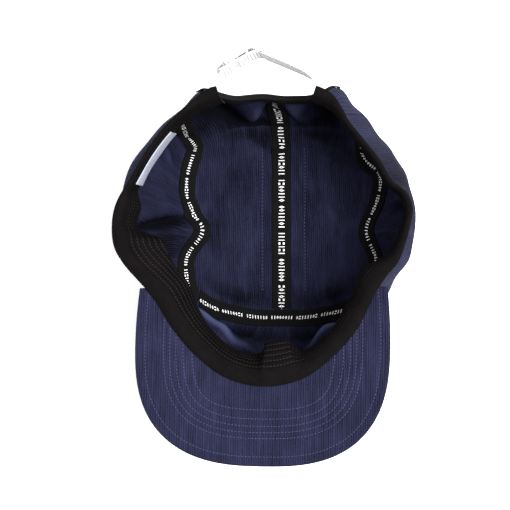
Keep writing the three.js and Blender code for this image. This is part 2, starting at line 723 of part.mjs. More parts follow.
const cloth = (color) => new THREE.MeshStandardMaterial({ color, roughness: 0.85, metalness: 0 });
const navyCloth = cloth('#23284f');
const blackTape = cloth('#151314');
const blackTwill = cloth('#1d1718');
const whiteWebbing = cloth('#f3f3f1');
const whitePlastic = new THREE.MeshStandardMaterial({ color: '#f4f4f4', roughness: 0.4, metalness: 0 });
const paleSatin = cloth('#b9bdd0');

const cap = new THREE.Group();
function add(name, geometry, material) {
  const mesh = new THREE.Mesh(geometry, material);
  mesh.name = name;
  cap.add(mesh);
}

add('front_panel', frontPanel(), navyCloth);
add('side_panel_left', sidePanel(-1), navyCloth);
add('side_panel_right', sidePanel(1), navyCloth);
add('top_panel_left', topPanel(-1), navyCloth);
add('top_panel_right', topPanel(1), navyCloth);
add('peak', peak(), navyCloth);
add('sweatband', sweatband(), blackTwill);
add('side_tape_left', sideTape(-1), blackTape);
add('side_tape_right', sideTape(1), blackTape);
add('front_tape', frontTape(), blackTape);
add('centre_tape', centreTape(), blackTape);
add('arch_binding', archBinding(), blackTape);
add('strap_right', strapRight(), whiteWebbing);
add('strap_left', strapLeft(), whiteWebbing);
add('slide_buckle', slideBuckle(), whitePlastic);
add('care_label', careLabel(), paleSatin);

export default cap;
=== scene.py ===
import math

import bpy
import numpy as np
from mathutils import Matrix


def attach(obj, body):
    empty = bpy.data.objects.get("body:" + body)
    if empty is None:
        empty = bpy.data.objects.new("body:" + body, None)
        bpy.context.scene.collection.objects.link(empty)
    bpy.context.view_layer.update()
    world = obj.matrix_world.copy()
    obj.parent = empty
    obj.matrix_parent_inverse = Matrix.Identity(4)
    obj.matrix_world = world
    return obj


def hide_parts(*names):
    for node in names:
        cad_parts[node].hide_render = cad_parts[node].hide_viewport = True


# A five-panel cap that lies upside down on its crown. The sizes below are millimetres and meshes are metres.
# Every place on the crown is an angle (0 at the front, 180 at the back, negative on the left) and a height t:
# 0 at the rim, 1 at the foot of the wall, where the wall meets the flat top of the cap.

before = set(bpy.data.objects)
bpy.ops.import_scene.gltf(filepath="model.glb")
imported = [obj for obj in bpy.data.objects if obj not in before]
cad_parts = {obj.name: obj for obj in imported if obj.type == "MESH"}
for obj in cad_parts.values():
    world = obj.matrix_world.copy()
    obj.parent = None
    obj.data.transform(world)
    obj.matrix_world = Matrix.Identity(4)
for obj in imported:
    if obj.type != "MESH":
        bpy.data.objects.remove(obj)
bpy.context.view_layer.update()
mm = 0.001
print("frame loaded:", len(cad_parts), "nodes")


def lerp(a, b, u):
    return a + (b - a) * u


def smooth(x, low=0.0, high=1.0):
    u = np.clip((np.asarray(x, float) - low) / (high - low), 0, 1)
    return u * u * (3 - 2 * u)


def gauss(x):
    return np.exp(-np.square(x))


def unit(v):
    return v / np.maximum(np.linalg.norm(v, axis=-1, keepdims=True), 1e-12)


def linear(hexColour):
    channels = [int(hexColour[i:i + 2], 16) / 255 for i in (1, 3, 5)]
    return tuple(c / 12.92 if c <= 0.04045 else ((c + 0.055) / 1.055) ** 2.4 for c in channels) + (1.0,)


def table(names, *rows):
    # each row's numbers under their names
    return [dict(zip(names.split(), row)) for row in rows]


def addNode(tree, kind, inputs=None, **settings):
    # an input takes a plain value, a socket, or a node, whose first output it is linked to
    node = tree.nodes.new(kind)
    for key, value in settings.items():
        setattr(node, key, value)
    for key, value in (inputs or {}).items():
        if isinstance(value, bpy.types.Node):
            value = value.outputs[0]
        if isinstance(value, bpy.types.NodeSocket):
            tree.links.new(value, node.inputs[key])
        else:
            node.inputs[key].default_value = value
    return node


def newObject(name, data):
    made = bpy.data.objects.new(name, data)
    bpy.context.scene.collection.objects.link(made)
    return made


def column(rows, name):
    return np.array([row[name] for row in rows], float)


def along(rows, name, angle):
    # a smooth curve through one column of a table, level at both ends
    xs, ys = column(rows, "angle"), column(rows, name)
    slopes = np.zeros(len(xs))
    slopes[1:-1] = (ys[2:] - ys[:-2]) / (xs[2:] - xs[:-2])
    angle = np.asarray(angle, float)
    i = np.clip(np.searchsorted(xs, angle, side="left") - 1, 0, len(xs) - 2)
    span = xs[i + 1] - xs[i]
    u = np.clip((angle - xs[i]) / span, 0, 1)
    rise = u * u * (3 - 2 * u)
    return (ys[i] * (1 - rise) + ys[i + 1] * rise
            + span * (slopes[i] * u * (1 - u) ** 2 - slopes[i + 1] * u * u * (1 - u)))


def signedAngle(angle):
    return np.mod(np.asarray(angle, float) + 180, 360) - 180


def vec(x, y, z):
    return np.stack(np.broadcast_arrays(np.asarray(x, float), np.asarray(y, float), np.asarray(z, float)), -1)


def waviness(u, v, seed, count=7, low=0.6, high=1.6):
    # a soft seeded mix of waves in two directions, about -1 to 1
    rng = np.random.default_rng(seed)
    total = 0
    for _ in range(count):
        turn, scale, phase = rng.uniform(0, math.pi), rng.uniform(low, high), rng.uniform(0, 2 * math.pi)
        total = total + np.sin(scale * (u * math.cos(turn) + v * math.sin(turn)) + phase)
    return total / math.sqrt(count)


crown = {
    "axisY": 12, "cloth": 1.2, "gap": 0.4, "tapeGap": 0.5,
    "flare": math.radians(29), "handle": 20, "footHeight": 5, "flatShare": 0.72,
    "frontSeam": (60, 55), "backSeam": (146, 136), "archWidth": 24, "archDepth": 0.4,
    "rimHeight": 96.5, "crinkle": 0.45, "looseFloor": 0.5,
}
# the outer face shows less of the folds' painted light and shade, and is a little paler all over: a painted
# sheen
outerPaintedShading = {"share": 0.5, "paler": 0.13}
# for each direction, the wall's radius at the rim and at the foot, how far it bellies out between them, and
# how high that swell sits
crownSections = table(
    "angle rim foot belly swell",
    # the back, from its middle to the left corner
    (-180, 94.5, 76.5, 1, 0.6),
    (-168, 98, 78, 2, 0.62),
    (-161, 100.8, 81.5, 4, 0.68),
    (-155, 99.2, 84.5, 14, 0.8),
    # the left side
    (-147, 96.6, 88, 8.5, 0.8),
    (-138, 95, 88, 12, 0.8),
    (-128, 93.7, 82.5, 16, 0.8),
    (-118, 93.3, 77, 22, 0.8),
    (-111, 94.6, 74.5, 17, 0.8),
    (-102, 98, 71.5, 3, 0.65),
    (-94, 98.5, 70, 2, 0.6),
    (-86, 97, 70.3, 2, 0.6),
    (-80, 93, 71, 2, 0.6),
    (-70, 85.5, 72.2, 2, 0.6),
    # the front
    (-60, 81.4, 74.5, 2, 0.6),
    (-45, 83.5, 69.5, 2, 0.6),
    (-30, 88, 62.5, 2, 0.6),
    (-15, 93.8, 58.5, 2, 0.6),
    (0, 95.8, 56.5, 2, 0.6),
    (15, 93.8, 58.5, 2, 0.6),
    (30, 88, 62.5, 2, 0.6),
    (45, 83.5, 69.5, 2, 0.6),
    (60, 79.4, 73.5, 3, 0.6),
    # the right side
    (71, 81.5, 71.8, 7, 0.6),
    (80, 87.4, 71, 12, 0.6),
    (87, 90, 70.2, 12, 0.6),
    (94, 93.2, 70, 10, 0.6),
    (101, 96.3, 71.3, 6, 0.6),
    (107, 94.6, 73.5, 9, 0.6),
    (113, 89, 77, 18, 0.6),
    (123, 88.2, 84.5, 12, 0.6),
    (133, 88.2, 86.5, 10, 0.6),
    (143, 90.8, 88, 13, 0.65),
    (148, 95, 87.5, 12, 0.7),
    # the right corner and the back
    (154, 100, 84.5, 16, 0.72),
    (161, 101, 81.5, 3, 0.63),
    (168, 98, 78, 1, 0.6),
    (180, 94.5, 76.5, 1, 0.6),
)
# dents and folds of the wall: the angle and spread in degrees, the depth inwards in mm, the heights where
# each starts, is deepest and ends, and how far its line leans, in degrees from rim to foot. The tone is
# painted
# light and shade: how much paler (above 0, a painted highlight where the cloth faces the light) or darker
# (below 0, painted shade in creases and under folds) it is.
wallFolds = table(
    "angle spread depth start deepest end lean tone",
    # both sides are pressed in at the foot
    (-95.5, 13, 14, 0.15, 0.9, 9, 0, 0),
    (94, 14, 9.5, 0.15, 0.9, 9, 0, 0),
    # the corners of the back
    (-163.5, 6, 4, 0.2, 0.42, 0.95, 0, 0),
    (168, 7, 2.5, 0, 0.4, 0.9, 0, 0),
    # the crease of the left wall with painted shade in it, and painted shade before it
    (-98.5, 2.8, -9, 0.2, 0.7, 1.1, -14, -1),
    (-74, 11, 0, 0.15, 0.6, 1.1, 0, -0.55),
    # small creases of the two side walls, with painted highlights and shade
    (-117, 5, 3.2, 0.3, 0.6, 1, 14, 0.1),
    (-128, 2.6, 4.5, 0.35, 0.6, 0.95, 26, 0.2),
    (-134, 3, -4, 0.35, 0.62, 0.95, -22, -0.5),
    (-80, 4, -1.8, 0.3, 0.7, 1, -10, -0.2),
    (-68, 5, -2, 0.4, 0.75, 1, 0, -0.4),
    (104, 2.6, -5, 0.25, 0.6, 0.95, 8, -0.6),
    (112, 5, -1.5, 0.3, 0.65, 1, -14, 0),
    (80, 4, -1.5, 0.3, 0.7, 1, 8, -0.2),
    # folds inside the peak's seam
    (-52, 11, 10, 0.1, 0.5, 0.8, 0, 0),
    (-33, 13, 12, 0.1, 0.5, 0.8, 0, 0),
    (-14, 8, 5, 0.1, 0.5, 0.8, 0, 0),
    (30, 13, 13, 0.1, 0.5, 0.8, 0, 0),
    # painted highlights on their tops, and painted shade under them
    (-40, 22, 0, 0.4, 0.5, 0.6, 0, 0.75),
    (32, 15, 0, 0.4, 0.5, 0.6, 0, 0.7),
    (-60, 8, 0, 0.5, 0.95, 1.15, 0, -0.5),
    (-30, 25, -2, 0.64, 0.8, 0.97, 0, -0.45),
    (25, 25, -2, 0.64, 0.8, 0.97, 0, -0.4),
    # crumples of the back wall with painted highlights and shade, and painted shade under the binding
    (-168, 4, 7, 0.42, 0.68, 0.9, 16, 0.1),
    (-171, 5, -2, 0.86, 0.97, 1.1, 0, -0.8),
    (-175, 3, -5, 0.45, 0.7, 1, 22, -0.3),
    (-155, 5, -4, 0.3, 0.68, 1, -12, -0.7),
    (171, 3, 5, 0.45, 0.75, 1, -14, 0.1),
    (159, 4, -2.5, 0.4, 0.7, 1, -10, -0.5),
    (-163, 14, 0, 0.78, 0.95, 1.12, 0, -0.55),
    (-148, 7, 0, 0.3, 0.65, 1.1, 0, -0.45),
    (-172, 3.2, 2, 0.42, 0.6, 0.8, 14, 0.15),
    (-177.5, 3, 0, 0.62, 0.86, 1.1, -20, -0.6),
    (171, 5, 1.5, 0.35, 0.55, 0.78, 0, 0.3),
    (163, 13, 0, 0.78, 0.95, 1.12, 0, -0.5),
    (155, 5, 0, 0.3, 0.6, 1, 0, -0.35),
    # painted shade and painted highlights on the side walls
    (-90, 8, 0, 0.25, 0.6, 1.1, -8, -0.25),
    (112, 18, 0, -0.5, 0.15, 0.65, 0, -0.8),
    (-157, 7, 0, 0.15, 0.6, 1.05, 0, -0.75),
    (-148, 3, 3, 0.3, 0.55, 0.85, 10, 0.15),
    # the foot is drawn in at the back corners
    (136, 12, 7.5, 0.4, 0.95, 9, 0, 0),
    (-144, 8, 8, 0.3, 0.9, 9, 0, 0),
)
# folds of the flat top, as ridges above the table: the middle, length and width in mm, the turn in degrees
# from crosswise, the height, and the tone of painted light and shade as above
floorFolds = table(
    "x y length width turn height tone",
    # along the back edge
    (-36, 76, 14, 6, 12, 3.5, -0.1),
    (-12, 80, 10, 4, -30, 4, -0.3),
    (20, 79, 12, 4, -18, 4, 0),
    (42, 70, 16, 5, -30, 3.5, -0.1),
    # across the middle
    (-40, 34, 24, 5, 54, 2, 0.05),
    (-46, 20, 20, 6, 70, 0, -0.35),
    (40, 34, 22, 5, -52, 2, 0),
    (-22, 4, 32, 6, 62, 1.4, 0.08),
    (-10, 20, 40, 7, 88, 0, -0.3),
    (26, 14, 28, 7, -62, 1.6, -0.2),
    # along the front edge
    (-34, -26, 18, 4, -20, 3, -0.2),
    (34, -26, 18, 4, 24, 2.6, -0.2),
    # painted shade and painted highlights
    (30, 52, 30, 14, -80, 0, -0.2),
    (-30, 50, 26, 12, -80, 0, -0.2),
    (-28, 84, 26, 6, 4, 0, -0.35),
    (26, 83, 22, 5, -4, 0, -0.35),
    (-30, -31, 26, 8, 6, 0, -0.38),
    (30, -31, 26, 9, -6, 0, -0.2),
    (36, -14, 18, 14, 0, 0, 0.15),
)


peakShape = {"height": 91, "curl": 12, "curlAt": 80, "slope": 0.13, "middleY": -84}


def polar(angle, radius, height):
    # a place by its direction round the crown's axis
    a = np.radians(angle)
    return vec(radius * np.sin(a), crown["axisY"] - radius * np.cos(a), height)


def peakHeight(x, y):
    # the peak's upper face curls up to both sides and rises a little towards its front edge
    return (peakShape["height"] + peakShape["curl"] * (x / peakShape["curlAt"]) ** 2
            - peakShape["slope"] * (y - peakShape["middleY"]))


def rimRadius(angle):
    return along(crownSections, "rim", signedAngle(angle))


def rimHeight(angle):
    point = polar(angle, rimRadius(angle), 0)
    behindPeak = smooth(np.abs(signedAngle(angle)), 50, 100)
    return lerp(peakHeight(point[..., 0], point[..., 1]), crown["rimHeight"], behindPeak)


def foldSum(angle, t, name):
    total = np.zeros(np.broadcast(angle, t).shape)
    for fold in wallFolds:
        if fold[name]:
            off = signedAngle(angle - fold["angle"] - fold["lean"] * (t - fold["deepest"]))
            grown = smooth(t, fold["start"], fold["deepest"])
            faded = smooth(t, fold["deepest"], fold["end"])
            total = total + fold[name] * gauss(off / fold["spread"]) * grown * (1 - faded)
    return total


def foldDepth(angle, t):
    total = foldSum(angle, t, "depth")
    crinkle = waviness(np.asarray(angle) * 0.42, np.asarray(t) * 9, 4)
    return total + crown["crinkle"] * crinkle * smooth(t, 0.15, 0.4) * (1 - smooth(t, 0.8, 1.0))


def floorSum(x, y, name):
    total = np.zeros(np.broadcast(x, y).shape)
    for fold in floorFolds:
        a = math.radians(fold["turn"])
        u = (x - fold["x"]) * math.cos(a) + (y - fold["y"]) * math.sin(a)
        v = (y - fold["y"]) * math.cos(a) - (x - fold["x"]) * math.sin(a)
        total = total + fold[name] * gauss(u / fold["length"]) * gauss(v / fold["width"])
    return total


def floorLift(x, y):
    total = floorSum(x, y, "height")
    # between the folds the cloth stands a little off the table, and is flat along the middle seam
    return total + crown["looseFloor"] * (1 + waviness(x * 0.09, y * 0.09, 11)) * smooth(np.abs(x), 4, 16)


def footRadius(angle):
    return along(crownSections, "foot", signedAngle(angle)) - foldDepth(angle, 1.0)


def crownPoint(angle, t):
    # the outer face: a wall curve from the rim (t 0) to the foot (t 1), then the flat top to its middle (t 2)
    angle, t = np.broadcast_arrays(np.asarray(angle, float), np.asarray(t, float))
    turn = signedAngle(angle)
    rim, top = rimRadius(angle), rimHeight(angle)
    foot, belly = along(crownSections, "foot", turn), along(crownSections, "belly", turn)
    w = np.clip(t, 0, 1)

    def bezier(a, b, c, d):
        return (1 - w) ** 3 * a + 3 * (1 - w) ** 2 * w * b + 3 * (1 - w) * w * w * c + w ** 3 * d

    radius = bezier(rim, rim + belly, foot + crown["handle"] * math.cos(crown["flare"]), foot)
    height = bezier(top, top * along(crownSections, "swell", turn),
                    crown["footHeight"] + crown["handle"] * math.sin(crown["flare"]), crown["footHeight"])
    share = 2 - np.clip(t, 1, 2)
    radius = np.where(t > 1, footRadius(angle) * share, radius - foldDepth(angle, w))
    rise = np.clip((share - crown["flatShare"]) / (1 - crown["flatShare"]), 0, 1)
    height = np.where(t > 1, crown["footHeight"] * rise * rise, height)
    point = polar(angle, radius, height)
    point[..., 2] += floorLift(point[..., 0], point[..., 1]) * smooth(t, 0.86, 1.02)
    return point


def crownNormal(angle, t):
    # towards the inside of the cap
    across = crownPoint(angle + 0.5, t) - crownPoint(angle - 0.5, t)
    down = crownPoint(angle, np.minimum(t + 0.015, 1.98)) - crownPoint(angle, np.maximum(t - 0.015, 0))
    return unit(np.cross(across, down))


def inward(angle, t, depth):
    # a place on the lining side, depth mm from the outer face
    return crownPoint(angle, t) + crownNormal(angle, t) * depth


def onFloor(x, y, depth):
    # a place on the flat top of the cap, by x and y
    radius = np.hypot(x, y - crown["axisY"])
    angle = np.degrees(np.arctan2(x, crown["axisY"] - y))
    t = 2 - radius / footRadius(angle)
    nearMiddle = (2 - t < 0.2)[..., None]
    flat = vec(x, y, floorLift(x, y))
    flat[..., 2] += depth
    return np.where(nearMiddle, flat, inward(angle, t, depth))


def seamAngle(seam, t):
    return lerp(seam[0], seam[1], np.clip(t, 0, 1))


def finishMesh(name, verts, faces, uv=None, sharp=40, paintedShading=None):
    mesh = bpy.data.meshes.new(name)
    mesh.from_pydata([tuple(v) for v in (np.asarray(verts) * mm)], [], faces)
    if uv is not None:
        layer = mesh.uv_layers.new(name="cloth")
        loops = np.empty(len(mesh.loops), np.int64)
        mesh.loops.foreach_get("vertex_index", loops)
        layer.data.foreach_set("uv", (np.asarray(uv) * mm)[loops].ravel())
    # a mesh attribute that carries painted light and shade into the cloth's colour
    if paintedShading is not None:
        layer = mesh.attributes.new("paintedShading", "FLOAT", "POINT")
        layer.data.foreach_set("value", np.asarray(paintedShading, float))
    mesh.validate()
    centres = np.array([q.center for q in mesh.polygons])
    normals = np.array([q.normal for q in mesh.polygons])
    areas = np.array([q.area for q in mesh.polygons])
    if float((centres * normals).sum(1) @ areas) < 0:  # a closed mesh of negative volume is inside out
        mesh.flip_normals()
    mesh.shade_smooth()
    mesh.set_sharp_from_angle(angle=math.radians(sharp))
    return newObject(name, mesh)


def sheetPiece(name, grids, uv, sharp=40, paintedShading=None, backShift=0.0):
    # grids: two faces of a sheet as rows x columns x 3, joined along their borders; uv: rows x columns x 2.
    # On the first face the pattern lies backShift mm further across, save along that face's first column.
    grids = np.asarray(grids, float)
    _, rows, columns, _ = grids.shape
    ids = np.arange(2 * rows * columns).reshape(2, rows, columns)
    low, high = ids[0], ids[1]
    corners = (
        (low[:-1, :-1], low[:-1, 1:], low[1:, 1:], low[1:, :-1]),
        (high[:-1, :-1], high[1:, :-1], high[1:, 1:], high[:-1, 1:]),
        (low[0, :-1], high[0, :-1], high[0, 1:], low[0, 1:]),
        (low[-1, :-1], low[-1, 1:], high[-1, 1:], high[-1, :-1]),
        (low[:-1, 0], low[1:, 0], high[1:, 0], high[:-1, 0]),
        (low[:-1, -1], high[:-1, -1], high[1:, -1], low[1:, -1]),
    )
    bothUv = np.array([uv, uv], float)
    bothUv[0, :, 1:, 1] += backShift
    # both faces carry painted light and shade: the outer face a share of it, plus an even painted sheen
    bothPaintedShading = paintedShading
    if paintedShading is not None:
        bothPaintedShading = np.concatenate([np.ravel(paintedShading) * outerPaintedShading["share"] + outerPaintedShading["paler"], np.ravel(paintedShading)])
    faces = np.concatenate([np.stack(quads, -1).reshape(-1, 4) for quads in corners]).tolist()
    return finishMesh(name, grids.reshape(-1, 3), faces, bothUv.reshape(-1, 2), sharp, bothPaintedShading)


def lengthAlong(grid, axis):
    steps = np.linalg.norm(np.diff(grid, axis=axis), axis=-1)
    total = np.cumsum(steps, axis=axis)
    return np.concatenate([np.zeros_like(np.take(total, [0], axis)), total], axis)


def sweepPiece(name, section, loops, lengths):
    # loops: places x corners x 3 round a path; capped at both ends
    count, corners = loops.shape[:2]
    ids = np.arange(count * corners).reshape(count, corners)
    after = np.roll(ids, -1, 1)
    faces = np.stack([ids[:-1], after[:-1], after[1:], ids[1:]], -1).reshape(-1, 4).tolist()
    faces.append(ids[0][::-1].tolist())
    faces.append(ids[-1].tolist())
    uv = np.stack(np.broadcast_arrays(lengths[:, None], lengthAlong(section, 0)[None, :]), -1)
    return finishMesh(name, loops.reshape(-1, 3), faces, uv.reshape(-1, 2))


def dress(piece, material, slotName, *nodes):
    piece.data.materials.clear()
    piece.data.materials.append(material)
    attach(piece, "root")
    if nodes:
        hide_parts(*nodes)
    return piece


def newMaterial(name):
    material = bpy.data.materials.new(name)
    material.use_nodes = True
    tree = material.node_tree
    tree.nodes.clear()
    output = addNode(tree, "ShaderNodeOutputMaterial")
    shader = addNode(tree, "ShaderNodeBsdfPrincipled")
    tree.links.new(shader.outputs[0], output.inputs[0])
    return material, tree, shader


mathNode = "ShaderNodeMath"
fullTurn = 2 * math.pi


def clothMap(tree):
    # a piece's own map, in metres along and across its cloth
    uv = addNode(tree, "ShaderNodeUVMap", uv_map="cloth")
    split = addNode(tree, "ShaderNodeSeparateXYZ", {0: uv})
    return uv, split.outputs[0], split.outputs[1]


def finishCloth(tree, shader, colour, height, look):
    bump = addNode(tree, "ShaderNodeBump", {"Height": height, "Strength": look["bump"],
                                            "Distance": look["bumpDepth"] * mm})
    tree.links.new(colour, shader.inputs["Base Color"])
    tree.links.new(bump.outputs[0], shader.inputs["Normal"])
    shader.inputs["Roughness"].default_value = look["roughness"]
    shader.inputs["Specular IOR Level"].default_value = look["specular"]


def ribbedNylon(name, look):
    # Dull nylon with fine ribs woven in along the cloth. The ribs catch light on their crowns, and the
    # grooves between them are darker; both come from the bump and from painted light and shade. Long streaks
    # and soft creases keep it from looking printed, and a mesh attribute paints highlights where folds face
    # the light and shade in creases and under folds. The grain of the threads is drawn a few times coarser
    # than real ones, which would be too fine to see.
    material, tree, shader = newMaterial(name)
    uv, u, v = clothMap(tree)
    wander = addNode(tree, "ShaderNodeTexNoise", {"Vector": uv, "Scale": 60.0, "Detail": 2.0})
    offset = addNode(tree, mathNode, {0: wander, 1: 0.5}, operation="SUBTRACT")
    bent = addNode(tree, mathNode, {0: offset, 1: look["drift"] * mm, 2: u}, operation="MULTIPLY_ADD")
    waves = []
    for place, spacing in ((bent, "ribSpacing"), (bent, "stripeSpacing"), (v, "pickSpacing")):
        turns = addNode(tree, mathNode, {0: place, 1: fullTurn / (look[spacing] * mm)}, operation="MULTIPLY")
        waves.append(addNode(tree, mathNode, {0: turns}, operation="SINE"))
    ribs, stripes, picks = waves
    beat = addNode(tree, mathNode, {0: picks, 1: 0.25, 2: 0.5}, operation="MULTIPLY_ADD")
    beads = addNode(tree, mathNode, {0: ribs, 1: beat}, operation="MULTIPLY")
    sheared = addNode(tree, mathNode, {0: v, 1: look["streakSlope"], 2: bent}, operation="MULTIPLY_ADD")
    crosswise = addNode(tree, mathNode, {0: sheared, 1: look["streakWidth"] * mm}, operation="DIVIDE")
    lengthwise = addNode(tree, mathNode, {0: v, 1: look["streakLength"] * mm}, operation="DIVIDE")
    streakPlace = addNode(tree, "ShaderNodeCombineXYZ", {0: crosswise, 1: lengthwise})
    streaks = addNode(tree, "ShaderNodeTexNoise", {"Vector": streakPlace, "Scale": 1.0, "Detail": 2.0})
    creasePlace = addNode(tree, "ShaderNodeMapping", {
        0: uv, 2: (0, 0, math.radians(look["creaseTurn"])), 3: (90.0, 22.0, 1.0)})
    creases = addNode(tree, "ShaderNodeTexNoise", {
        "Vector": creasePlace, "Scale": 1.0, "Detail": 3.0, "Distortion": 0.8})
    shallow = []
    for noise in (streaks, creases):
        centred = addNode(tree, mathNode, {0: noise, 1: 0.5}, operation="SUBTRACT")
        shallow.append(addNode(tree, mathNode, {0: centred, 1: look["darkest"]}, operation="MAXIMUM"))
    streak, crease = shallow
    height = 0.0
    for part, share in ((ribs, 0.5), (stripes, look["stripe"]), (beads, 0.3), (streak, look["streak"])):
        height = addNode(tree, mathNode, {0: part, 1: share, 2: height}, operation="MULTIPLY_ADD")
    mottle = addNode(tree, "ShaderNodeTexNoise", {"Vector": uv, "Scale": 45.0, "Detail": 5.0})
    weave = addNode(tree, "ShaderNodeTexNoise", {"Vector": uv, "Scale": 900.0, "Detail": 2.0})
    # painted light and shade from the mesh: above 0 a painted highlight, below 0 painted shade
    paintedShading = addNode(tree, "ShaderNodeAttribute", attribute_name="paintedShading").outputs["Fac"]
    tone = 0.5 - (look["mottle"] + look["weave"]) / 2  # both noises have their middle at a half
    for part, share in ((height, look["ribTone"]), (crease, look["crease"]), (paintedShading, 1.0),
                        (mottle, look["mottle"]), (weave, look["weave"])):
        tone = addNode(tree, mathNode, {0: part, 1: share, 2: tone}, operation="MULTIPLY_ADD")
    colour = addNode(tree, "ShaderNodeMix", {
        0: tone, 6: linear(look["groove"]), 7: linear(look["crownColour"])},
        data_type="RGBA", clamp_factor=True)
    # painted highlights mix towards a paler blue
    paintedHighlight = addNode(tree, "ShaderNodeMapRange", {0: paintedShading, 1: 0.1, 2: 0.8})
    withPaintedHighlight = addNode(tree, "ShaderNodeMix", {0: paintedHighlight, 6: colour.outputs[2], 7: linear(look["paintedHighlight"])},
                   data_type="RGBA")
    finishCloth(tree, shader, withPaintedHighlight.outputs[2], height, look)
    return material


def wovenMarks(tree, u, v, ground, marks):
    # White bars and lozenges woven along the middle of a tape, in groups with a space between them. They give
    # the black tape its lively white line. Their kind and width come from their number along the tape.
    counted = addNode(tree, mathNode, {0: u, 1: marks["pitch"] * mm}, operation="DIVIDE")
    number = addNode(tree, mathNode, {0: counted}, operation="FLOOR")
    chance = addNode(tree, "ShaderNodeTexWhiteNoise", {"W": number}, noise_dimensions="1D").outputs["Value"]
    within = addNode(tree, mathNode, {0: counted}, operation="FRACT")
    offset = addNode(tree, mathNode, {0: within, 1: 0.5}, operation="SUBTRACT")
    du = addNode(tree, mathNode, {0: offset}, operation="ABSOLUTE")
    aside = addNode(tree, mathNode, {0: v}, operation="ABSOLUTE")
    dv = addNode(tree, mathNode, {0: aside, 1: marks["tall"] / 2 * mm}, operation="DIVIDE")
    inRow = addNode(tree, mathNode, {0: dv, 1: 1.0}, operation="LESS_THAN")

    width = addNode(tree, mathNode, {0: chance, 1: 0.1, 2: 0.11}, operation="MULTIPLY_ADD")
    narrow = addNode(tree, mathNode, {0: du, 1: width}, operation="LESS_THAN")
    bar = addNode(tree, mathNode, {0: narrow, 1: inRow}, operation="MULTIPLY")

    slope = addNode(tree, mathNode, {0: du, 1: 2.7, 2: dv}, operation="MULTIPLY_ADD")
    lozenge = addNode(tree, mathNode, {0: slope, 1: 1.0}, operation="LESS_THAN")
    twiceUp = addNode(tree, mathNode, {0: dv, 1: 2.0}, operation="MULTIPLY")
    innerSlope = addNode(tree, mathNode, {0: du, 1: 4.6, 2: twiceUp}, operation="MULTIPLY_ADD")
    heart = addNode(tree, mathNode, {0: innerSlope, 1: 0.8}, operation="LESS_THAN")
    openLozenge = addNode(tree, mathNode, {0: lozenge, 1: heart}, operation="SUBTRACT")

    wide = addNode(tree, mathNode, {0: du, 1: 0.33}, operation="LESS_THAN")
    parted = addNode(tree, mathNode, {0: dv, 1: 0.42}, operation="GREATER_THAN")
    wideBar = addNode(tree, mathNode, {0: wide, 1: inRow}, operation="MULTIPLY")
    splitBar = addNode(tree, mathNode, {0: wideBar, 1: parted}, operation="MULTIPLY")

    pickBar = addNode(tree, mathNode, {0: chance, 1: 0.45}, operation="LESS_THAN")
    pickSplit = addNode(tree, mathNode, {0: chance, 1: 0.8}, operation="GREATER_THAN")
    shape = addNode(tree, "ShaderNodeMix", {0: pickBar, 2: openLozenge, 3: bar})
    shape = addNode(tree, "ShaderNodeMix", {0: pickSplit, 2: shape, 3: splitBar})
    place = addNode(tree, mathNode, {0: number, 1: float(marks["group"])}, operation="FLOORED_MODULO")
    inGroup = addNode(tree, mathNode, {0: place, 1: marks["group"] - 1.5}, operation="LESS_THAN")
    shown = addNode(tree, mathNode, {0: shape, 1: inGroup}, operation="MULTIPLY")
    mix = addNode(tree, "ShaderNodeMix", {0: shown, 6: ground, 7: linear(marks["white"])}, data_type="RGBA")
    return mix.outputs[2]


def plainWeave(name, look):
    # Flat woven tape or webbing: rows along it, with cross threads beating against them, which break the
    # light into a fine grain. They are drawn coarser than real threads, so that they show.
    material, tree, shader = newMaterial(name)
    uv, u, v = clothMap(tree)
    height = 0.0
    for place, spacing, depth in ((v, "rows", "rowDepth"), (u, "cross", "crossDepth")):
        turns = addNode(tree, mathNode, {0: place, 1: fullTurn / (look[spacing] * mm)}, operation="MULTIPLY")
        wave = addNode(tree, mathNode, {0: turns}, operation="SINE")
        height = addNode(tree, mathNode, {0: wave, 1: look[depth], 2: height}, operation="MULTIPLY_ADD")
    fibre = addNode(tree, "ShaderNodeTexNoise", {"Vector": uv, "Scale": 700.0, "Detail": 3.0})
    patch = addNode(tree, "ShaderNodeTexNoise", {"Vector": uv, "Scale": 40.0, "Detail": 3.0})
    patches = 0.8
    tone = -patches / 2
    # the weave's height also darkens its colour in the hollows: painted shade beside the bump
    for part, share in ((height, 0.5), (fibre, 1.0), (patch, patches)):
        tone = addNode(tree, mathNode, {0: part, 1: share, 2: tone}, operation="MULTIPLY_ADD")
    colour = addNode(tree, "ShaderNodeMix", {0: tone, 6: linear(look["dark"]), 7: linear(look["light"])},
                     data_type="RGBA", clamp_factor=True).outputs[2]
    if "marks" in look:
        colour = wovenMarks(tree, u, v, colour, look["marks"])
    finishCloth(tree, shader, colour, height, look)
    return material


